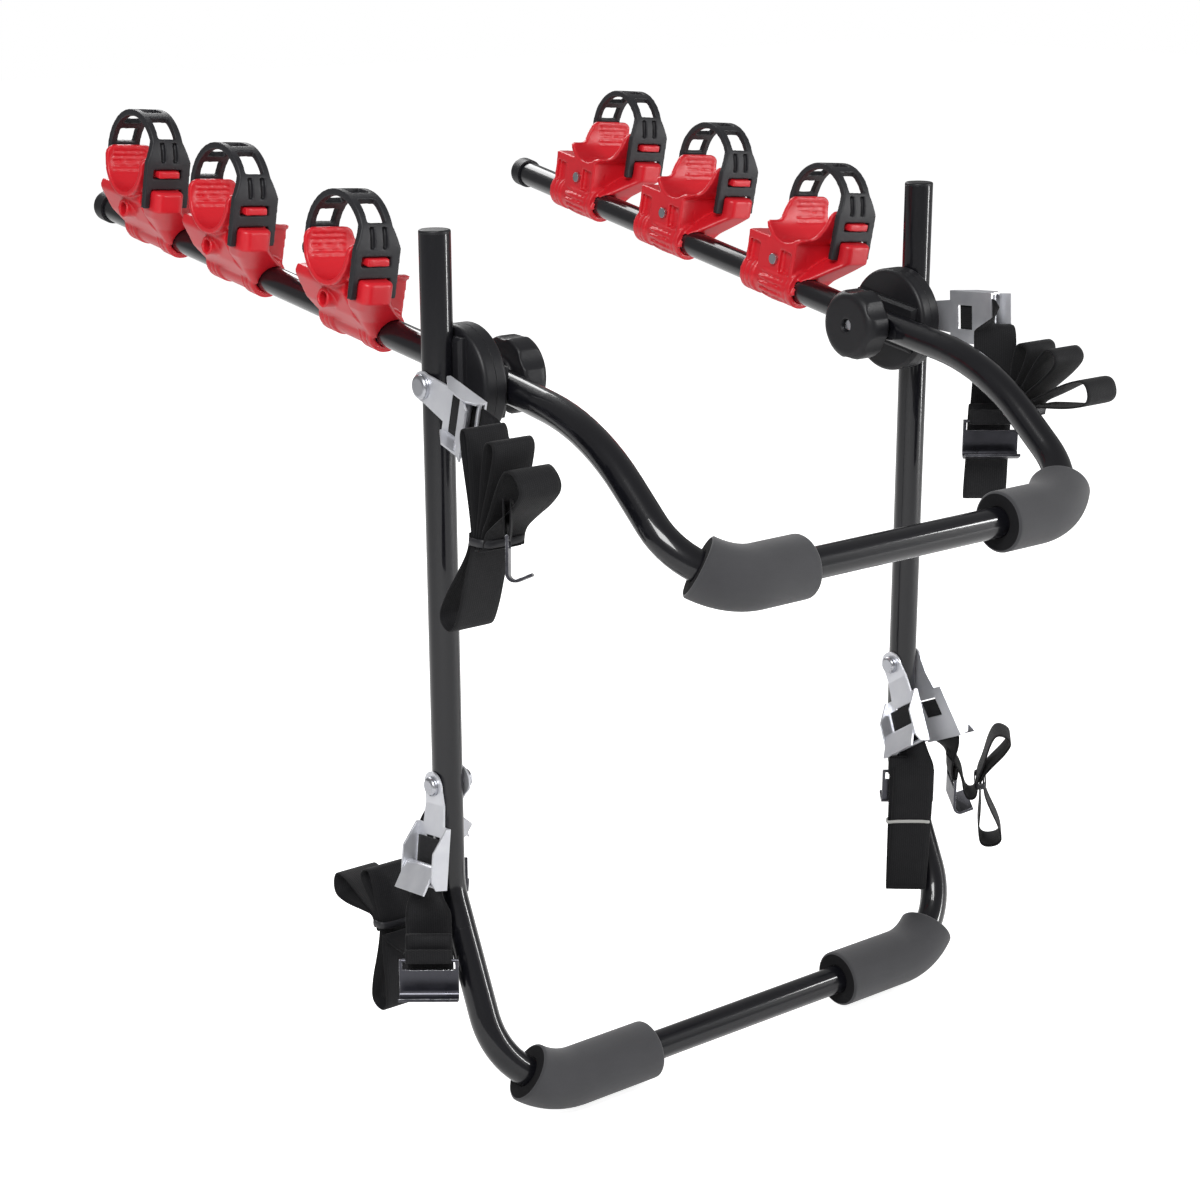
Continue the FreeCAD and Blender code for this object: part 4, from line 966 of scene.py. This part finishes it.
@dataclass
class TiedStrap:
    """Webbing of one fastening strap: its lead, its hanging fold and its tied fan."""

    places: Frame
    name: str
    side: Side
    drop: float              # strap bolt below the fold axis
    facing: int              # 1 outside the upright, -1 inside
    swing: float             # degrees that the buckle points towards the vehicle
    tilt: float              # degrees that it leans away from the upright
    fold: list[Pair]         # places out from and above the start of the hanging part
    hook: Pair
    turn: float = 0.0        # degrees that the fold is turned about the vertical
    lead: float = 0.016      # webbing past the buckle before it hangs
    slide: float = 0.0
    tie: Pair = (0.0, 0.0)
    petals: list[FanPetal] = field(default_factory=list)
    fan_offset: float = -0.0005
    fan_turn: float = 0.0
    root: list[Pair] = field(default_factory=list)
    root_last: bool = False
    hook_on_fan: bool = False
    hook_aside: float = 0.0
    hook_turn: float = 0.0
    hook_dip: float = 0.0
    end_rise: float = 0.030  # length of the loop that holds a hook on a fan
    band_at: float = 0.0     # height of a pale band round the fold, from its top
    width: float = 0.042
    pitch: float = 0.0032    # from one layer of a petal to the other
    tie_half: float = 0.006
    layer_turn: float = 1.3  # reach of a turn between petals, as a share of tie_half
    base: float = 0.0143     # from the upright's axis to the buckle's tongue
    tongue_bend: float = 0.017
    lead_from: float = 0.048
    lead_bend: float = 0.55  # where the webbing bends on its way to the fold
    frame_to: float = 0.092
    level: float = 0.0031
    loop_r: float = 0.003
    loop_tail: float = 0.012
    band_side: float = 0.0012
    tie_deep: float = 0.0022     # how far the tie's band stands off the layers
    band_deep: float = 0.0016
    band_half: float = 0.0018

    def out(self) -> Vector:
        """Direction from the upright's face to the buckle."""
        return Vector((self.side.value * self.facing, 0, 0))

    def at(self, down: float, high: float) -> Vector:
        """Point of the tilted buckle frame, down its channel and up from its base.

        Args:
            down: Distance from the bolt along the buckle.
            high: Height over its base plate.

        Returns:
            The point.
        """
        swing, tilt = math.radians(self.swing), math.radians(self.tilt)
        out = self.out()
        places = self.places
        bolt = Vector((self.side.value * places.half_track, places.hub_y, places.hub_z - self.drop))
        up = Vector((0, math.sin(swing), math.cos(swing)))
        run = out * math.sin(tilt) - up * math.cos(tilt)
        normal = out * math.cos(tilt) + up * math.sin(tilt)
        bend = bolt + out * self.base - up * self.tongue_bend
        return bend + run * (down - self.tongue_bend) + normal * high

    def hang(self) -> Vector:
        """Place where the webbing turns to hang straight down."""
        return self.at(self.frame_to + self.lead, self.level)

    def run_ribbon(self) -> Ribbon:
        """Webbing out of the buckle and down its hanging fold."""
        start = self.at(self.lead_from, self.level)
        hang = self.hang()
        points = [start, start.lerp(hang, self.lead_bend), hang]
        plan = list(self.fold)
        if not self.hook_on_fan:
            x, z = self.hook
            r = self.loop_r
            plan += [(x - r, z - r), (x + r, z - r), (x + r, z + self.loop_tail)]
        out = turned(self.out(), self.turn)
        last = out.cross(UP)
        points += in_plane(hang + last * self.slide, out, plan)
        swing = math.radians(self.swing)
        first = Vector((0, math.sin(swing), math.cos(swing))).cross(self.out())
        if first.dot(last) < 0:
            last = -last
        lead = self.frame_to + self.lead - self.lead_from
        return Ribbon(rounded_line(points), [first, last], self.width,
                      turn_from=lead * TURN_FROM, turn_to=lead * TURN_TO)

    def fan_plan(self) -> list[Pair]:
        """Control points of the fan in its own plane, from the tie.

        Returns:
            Places along the fan and up.
        """
        half = self.tie_half
        up = self.petals[0].angle > 0
        plan = [(0.0, -half if up else half)]
        slot = 0.0
        for petal in self.petals:
            rise = 1 if petal.angle > 0 else -1
            if (rise > 0) != up:
                back = -rise * half * self.layer_turn
                plan += [(slot, back), (slot + self.pitch, back)]
                slot += self.pitch
            plan += self.petal_plan(petal, slot, rise)
            slot += self.pitch
            up = rise < 0
        plan.append((slot, half if up else -half))
        return plan

    def petal_plan(self, petal: FanPetal, slot: float, rise: int) -> list[Pair]:
        """Control points of one petal: slender at the tie, full near its tip.

        Args:
            petal: The petal.
            slot: Its place in the tie.
            rise: 1 where it stands up, -1 where it hangs.

        Returns:
            Its points in the fan's plane.
        """
        a = math.radians(petal.angle)
        out = Vector((math.cos(a), math.sin(a)))
        across = Vector((out.y, -out.x)) * rise
        root = Vector((slot + self.pitch / 2, rise * self.tie_half))
        plan = [(slot, rise * self.tie_half)]
        for share, spread in PETAL_SHAPE:
            spot = root + out * (petal.length * share) + across * (petal.tip * spread)
            plan.append((spot.x, spot.y))
        return plan + [(slot + self.pitch, rise * self.tie_half)]

    def fan_axes(self) -> tuple[Vector, Vector]:
        """Level directions along the fan and across its webbing."""
        return turned(Vector((0, -1, 0)), self.fan_turn), turned(self.out(), self.fan_turn)

    def fan_origin(self) -> Vector:
        """Middle of the fan's width at its first layer in the tie."""
        _, wide = self.fan_axes()
        x = self.hang().x + self.out().x * self.fan_offset
        tie = Vector((x, self.places.hub_y + self.tie[0], self.places.hub_z + self.tie[1]))
        return tie + wide * (self.width / 2)

    def fan_ribbon(self) -> Ribbon:
        """The tied fan, with the webbing that leads to it."""
        plan = self.fan_plan()
        if self.root and self.root_last:
            plan = plan[:-1] + list(self.root)
        elif self.root:
            plan = list(self.root) + plan[1:]
        along, wide = self.fan_axes()
        points = in_plane(self.fan_origin(), along, plan)
        return Ribbon(rounded_line(points), [wide, wide], self.width)

    def end_ribbon(self) -> Ribbon:
        """Loop of webbing that carries a hook on a fan."""
        along, wide = self.fan_axes()
        x, z = self.hook
        middle = self.fan_origin() + along * x + wide * self.hook_aside + Vector((0, 0, z))
        out = turned(along, self.hook_turn)
        r = self.loop_r
        plan = [(-r, self.end_rise), (-r, -r), (r, -r), (r, self.end_rise)]
        dip = math.radians(self.hook_dip)
        across = UP.cross(out) * math.cos(dip) - UP * math.sin(dip)
        points = in_plane(middle, out, plan, out.cross(across))
        return Ribbon(rounded_line(points), [across, across], self.width)

    def add_ribbon(self, kind: str, ribbon: Ribbon, finishes: Finishes) -> bpy.types.Object:
        """Make one length of webbing in place of the CAD node, named after what it does."""
        name = f"strap_{kind}_{self.name}"
        return add_piece(name, ribbon.mesh(name, finishes.webbing), "strap_" + self.name,
                         ("webbing_" + self.name,))

    def build(self, finishes: Finishes) -> None:
        """Make the webbing and its ties.

        Args:
            finishes: Materials of the carrier.
        """
        run = self.run_ribbon()
        lead = self.add_ribbon("run", run, finishes)
        bands = [self.pale_band(finishes)] if self.band_at else []
        run.length()
        if not self.petals:
            return
        fan = self.fan_ribbon()
        piece = self.add_ribbon("fan", fan, finishes)
        fan.length()
        self.tie_piece(finishes)
        if self.hook_on_fan:
            end = self.end_ribbon()
            loop = self.add_ribbon("end", end, finishes)
            end.length()

    def add_band(self, kind: str, band: "Band", material: Material) -> bpy.types.Object:
        """Make a band that rides with the webbing, named after its kind and the strap."""
        name = kind + self.name
        return add_piece(name, band.mesh(name, material), "strap_" + self.name)

    def tie_piece(self, finishes: Finishes) -> bpy.types.Object:
        """Narrow band that goes once round the bundle at its tie."""
        reach = self.tie_half * self.layer_turn + 1e-6
        slots = max(x for x, y in self.fan_plan() if abs(y) <= reach)
        along, wide = self.fan_axes()
        middle = self.fan_origin() + along * (slots / 2)
        band = Band(middle, wide * (self.width / 2 + self.band_side), along * (slots / 2 + self.tie_deep))
        return self.add_band("tie_", band, finishes.rubber)

    def pale_band(self, finishes: Finishes) -> bpy.types.Object:
        """Thin pale band round the layers of the hanging fold."""
        out = turned(self.out(), self.turn)
        flat = out.cross(UP)
        deep = self.fold[1][0]
        middle = self.hang() + flat * self.slide + out * (deep / 2) + Vector((0, 0, self.band_at))
        band = Band(middle, flat * (self.width / 2 + self.band_side), out * (deep / 2 + self.band_deep),
                    self.band_half)
        return self.add_band("band_", band, finishes.pale)


@dataclass
class Band:
    """Narrow band once round a flat bundle."""

    middle: Vector
    wide: Vector             # half its width, in its direction
    deep: Vector             # half its depth, in its direction
    half: float = 0.0035     # half its height
    wave: float = 0.0006     # how far it wanders up and down on its way round
    wide_power: float = 0.35
    deep_power: float = 0.5
    turns: int = 48

    def mesh(self, name: str, material: Material) -> Mesh:
        """Sweep the band's section round the bundle.

        Args:
            name: Name of the mesh.
            material: Finish of the band.

        Returns:
            The band's mesh.
        """
        vertices = []
        for k in range(self.turns):
            a = 2 * math.pi * k / self.turns
            c, s = math.cos(a), math.sin(a)
            spot = (self.wide * math.copysign(abs(c) ** self.wide_power, c)
                    + self.deep * math.copysign(abs(s) ** self.deep_power, s))
            spot.z += self.wave * math.sin(3 * a)
            outwards = (self.wide.normalized() * c + self.deep.normalized() * s).normalized()
            vertices += [self.middle + spot + outwards * u + Vector((0, 0, v * self.half))
                         for u, v in BAND_SECTION]
        faces = swept_faces(self.turns, len(BAND_SECTION), closed=True)
        return smooth_mesh(name, vertices, faces, material)


def tied_straps(places: Frame) -> list[TiedStrap]:
    """The six straps as they hang in the photograph.

    Args:
        places: Places of the tubes.

    Returns:
        The straps, the upper ones first.
    """
    low = 0.368      # lower strap bolts below the fold axis
    left, right = partial(TiedStrap, places, side=Side.LEFT), partial(TiedStrap, places, side=Side.RIGHT)
    return [
        left("upper_left", drop=0.0, facing=1, swing=75.0, tilt=0.0, fold=[(0.0, -0.070)],
             hook=(0.050, 0.012), lead=0.036, tie=(-0.134, -0.101), fan_offset=0.002,
             hook_on_fan=True, hook_aside=0.017, hook_turn=52.6, hook_dip=16.0,
             petals=[FanPetal(-118, 0.088, 0.012), FanPetal(98, 0.084, 0.005),
                     FanPetal(76, 0.081, 0.007), FanPetal(50, 0.073, 0.014)]),
        right("upper_right", drop=0.0, facing=1, swing=94.0, tilt=0.0,
              fold=[(0.0, -0.178), (0.015, -0.178), (0.015, -0.080), (0.026, -0.080)],
              hook=(0.029, -0.095), turn=-127.4, lead=0.008, slide=0.009, tie=(-0.112, -0.082),
              root=[(-0.026, -0.016), (0.0, -0.016)],
              petals=[FanPetal(74, 0.064, 0.008), FanPetal(50, 0.076, 0.010),
                      FanPetal(18, 0.092, 0.013)]),
        left("lower_left_outer", drop=low, facing=1, swing=8.0, tilt=11.0,
             fold=[(0.0, -0.084), (0.015, -0.084), (0.015, -0.022), (0.025, -0.022)],
             hook=(0.028, -0.044), turn=52.6, slide=-0.002, tie=(0.044, -0.506),
             fan_offset=-0.0205, root=[(0.018, -0.014), (0.050, -0.014)], root_last=True,
             petals=[FanPetal(172, 0.072, 0.013), FanPetal(122, 0.046, 0.009),
                     FanPetal(-96, 0.080, 0.013)]),
        right("lower_right_outer", drop=low, facing=1, swing=25.0, tilt=11.0, fold=[],
              hook=(0.003, -0.030), turn=-37.4, lead=0.010, tie=(-0.0753, -0.4956),
              fan_offset=0.0091, fan_turn=45.0,
              root=[(-0.034, 0.034), (-0.018, 0.018), (-0.013, -0.016), (0.0, -0.016)],
              petals=[FanPetal(63, 0.054, 0.010), FanPetal(-78, 0.062, 0.012)]),
        right("lower_right_inner", drop=low, facing=-1, swing=34.0, tilt=11.0,
              fold=[(0.0, -0.145), (0.0055, -0.145), (0.0055, 0.002), (0.011, 0.002)],
              hook=(0.014, -0.016), turn=-127.4, lead=0.015, slide=-0.005, band_at=-0.067),
        left("lower_left_inner", drop=low, facing=-1, swing=-44.0, tilt=11.0,
             fold=[(0.0, -0.050), (0.015, -0.050), (0.015, -0.014), (0.024, -0.014)],
             hook=(0.027, -0.044), turn=52.6),
    ]


@dataclass
class Cradles:
    """The six red cradles with their rubber ladder straps and small parts."""

    places: Frame
    clamp_r: float = 0.0203
    rib_from: float = 0.008
    rib_to: float = 0.053
    rib_count: int = 5
    rib_bow: float = 0.0034      # half width of a rib at its middle
    rib_end: float = 0.0004      # half width of a rib at its ends
    rib_high: float = 0.0012
    rib_deep: float = 0.002      # how far its foot is sunk into the clamp
    rib_top: float = 0.6         # width of its top, as a share of its foot
    rib_start: float = 150.0     # degrees of the first rib, and from one to the next
    rib_spacing: float = 21.0
    rib_steps: int = 14
    body_cell: float = 0.0011
    strap_cell: float = 0.0008

    def ribs(self, side: Side) -> Mesh:
        """Bowed ribs on the inner side of the first cradle's clamp.

        Args:
            side: Side of the arm.

        Returns:
            The ribs as closed forms, in the frame's coordinates.
        """
        place = self.places.cradle_place(side, 0)
        vertices, faces = [], []
        for k in range(self.rib_count):
            turn = math.radians(self.rib_start + k * self.rib_spacing)
            first = len(vertices)
            for i in range(self.rib_steps + 1):
                share = i / self.rib_steps
                bow = math.sin(math.pi * share) ** 0.7
                along = self.rib_from + (self.rib_to - self.rib_from) * share
                foot = (self.rib_end + self.rib_bow * bow) / self.clamp_r
                top = foot * self.rib_top
                low, high = self.clamp_r - self.rib_deep, self.clamp_r + self.rib_high * bow
                for spread, r in ((-foot, low), (-top, high), (top, high), (foot, low)):
                    a = turn + spread
                    vertices.append(place @ Vector((r * math.cos(a), along, r * math.sin(a))))
            faces += swept_faces(self.rib_steps + 1, 4, first=first)
            last = first + self.rib_steps * 4
            faces.append((first + 3, first + 2, first + 1, first))
            faces.append((last, last + 1, last + 2, last + 3))
        return smooth_mesh("clamp_ribs_" + side.tag, vertices, faces)

    def build(self, finishes: Finishes) -> None:
        """Replace every cradle and ladder strap with a rounded moulding.

        Args:
            finishes: Materials of the carrier.
        """
        for side in Side:
            cradle, ladder = f"cradle_{side.tag}_", f"ladder_{side.tag}_"
            cradle_mesh = moulded_copy(cradle + "1", "cradle_moulding_" + side.tag, self.body_cell, 4,
                                       0.55, finishes.red, self.ribs(side))
            ladder_mesh = moulded_copy(ladder + "1", "ladder_moulding_" + side.tag, self.strap_cell, 4,
                                       0.5, finishes.rubber)
            for number in "123":
                shift = centre_of(cradle + number) - centre_of(cradle + "1")
                for kind, mesh, body, slot in ((cradle, cradle_mesh, "swing", "cradle_red"),
                                               (ladder, ladder_mesh, ladder + number, "strap_rubber")):
                    name = kind.replace("_", "_moulding_", 1) + number
                    piece = add_piece(name, mesh, body, (kind + number,))
                    piece.location = shift


@dataclass
class Knobs:
    """Lobed knobs of the fold hubs."""

    cell: float = 0.0011

    def build(self, finishes: Finishes) -> None:
        """Replace each knob with a rounded moulding.

        Args:
            finishes: Materials of the carrier.
        """
        for side in Side:
            node, name = "knob_" + side.tag, "knob_moulding_" + side.tag
            mesh = moulded_copy(node, name, self.cell, 5, 0.6, finishes.plastic)
            add_piece(name, mesh, node, (node,))


@dataclass
class Studio:
    """Camera, lights and floor."""

    eye: Triple = (-1.37205, -1.56376, 1.04081)
    azimuth: float = -37.35
    pitch: float = 16.47
    roll: float = -0.22
    lens: float = 69.19
    floor_z: float = -0.034
    floor_glow: float = 0.80
    world_glow: float = 0.25
    floor_reach: float = 14.0

    def camera(self) -> None:
        """Place the camera where the photograph was taken."""
        a, e = math.radians(self.azimuth), math.radians(self.pitch)
        back = Vector((math.sin(a) * math.cos(e), -math.cos(a) * math.cos(e), math.sin(e)))
        right = (-back).cross(UP).normalized()
        up = right.cross(-back)
        c, s = math.cos(math.radians(self.roll)), math.sin(math.radians(self.roll))
        right, up = right * c + up * s, up * c - right * s
        data = bpy.data.cameras.new("photo_camera")
        data.lens = self.lens
        data.sensor_width = 36.0
        data.clip_end = 50.0
        camera = linked("photo_camera", data)
        camera.matrix_world = Matrix.Translation(self.eye) @ Matrix((right, up, back)).transposed().to_4x4()
        bpy.context.scene.camera = camera

    def lamp(self, name: str, place: Triple, aim: Triple, size: Pair, power: float) -> None:
        """Add one soft lamp.

        Args:
            name: Name of the lamp.
            place: Where it hangs.
            aim: Point that it faces.
            size: Width and height of its face.
            power: Watts.
        """
        data = bpy.data.lights.new(name, "AREA")
        data.shape = "RECTANGLE"
        data.size, data.size_y = size
        data.energy = power
        lamp = linked(name, data)
        lamp.location = place
        lamp.rotation_euler = (Vector(place) - Vector(aim)).to_track_quat("Z", "Y").to_euler()

    def background(self) -> None:
        """White surroundings for the camera and for rays through glass, dimmer for lighting and
        reflections.
        """
        world = bpy.data.worlds.new("studio")
        bpy.context.scene.world = world
        world.use_nodes = True
        tree = world.node_tree
        shader = part_of(tree, "ShaderNodeBackground")
        path = tree.nodes.new("ShaderNodeLightPath")
        calc = partial(math_node, tree)
        seen = calc("MAXIMUM", path.outputs["Is Camera Ray"], path.outputs["Is Transmission Ray"])
        shown = calc("MULTIPLY", seen, 1 - self.world_glow)
        tree.links.new(calc("ADD", shown, self.world_glow, True), shader.inputs["Strength"])
        set_inputs(shader, Color=WHITE)

    def floor(self) -> None:
        """Pale floor under the carrier."""
        material, shader = shaded("pale_floor", (0.95, 0.95, 0.95))
        set_inputs(shader, Roughness=0.9, Specular_IOR_Level=0.0, Emission_Color=WHITE)
        path = material.node_tree.nodes.new("ShaderNodeLightPath")
        glow = math_node(material.node_tree, "MULTIPLY", path.outputs["Is Camera Ray"], self.floor_glow)
        material.node_tree.links.new(glow, shader.inputs["Emission Strength"])
        mesh = bpy.data.meshes.new("floor")
        r = self.floor_reach
        mesh.from_pydata([(-r, -r, 0), (r, -r, 0), (r, r, 0), (-r, r, 0)], [], [(0, 1, 2, 3)])
        mesh.materials.append(material)
        floor = linked("floor", mesh)
        floor.location.z = self.floor_z

    def build(self) -> None:
        """Set up the whole studio."""
        self.camera()
        self.background()
        self.floor()
        middle = (0.0, 0.2, 0.4)
        self.lamp("key", (-2.2, -1.6, 2.8), middle, (1.4, 1.4), 95.0)
        self.lamp("strip", (2.3, -1.8, 1.0), middle, (0.22, 2.2), 42.0)
        self.lamp("back", (0.6, 2.8, 2.4), middle, (1.6, 1.6), 50.0)
        bpy.context.scene.view_settings.view_transform = "Standard"


def both(pattern: str) -> list[str]:
    """Left and right name of a pair of nodes, from a pattern with a place for the side."""
    return [pattern.format(side.tag) for side in Side]


def nodes_like(prefix: str) -> list[str]:
    """Names of the CAD nodes that start with a prefix."""
    return sorted(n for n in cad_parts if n.startswith(prefix))


def main() -> None:
    """Build the studio and dress the carrier."""
    logging.basicConfig(level=logging.INFO, format="%(message)s")
    finishes = Finishes(Effects())
    places = Frame()
    Studio().build()
    dress(both("upright_{}") + ["bottom_bar", "swing_tube"], finishes.tube)
    dress(["upright_caps", "arm_caps"] + nodes_like("hub_plate") + nodes_like("hub_disc"), finishes.plastic)
    dress(["hub_bolts", "strap_bolts", "cradle_screws"] + nodes_like("washer"), finishes.bolt)
    dress(nodes_like("buckle") + nodes_like("lever"), finishes.zinc)
    dress(nodes_like("hook"), finishes.hook)
    for sleeve in places.sleeves():
        sleeve.build(finishes)
    for strap in tied_straps(places):
        strap.build(finishes)
    Cradles(places).build(finishes)
    Knobs().build(finishes)


if __name__ == "__main__":
    main()
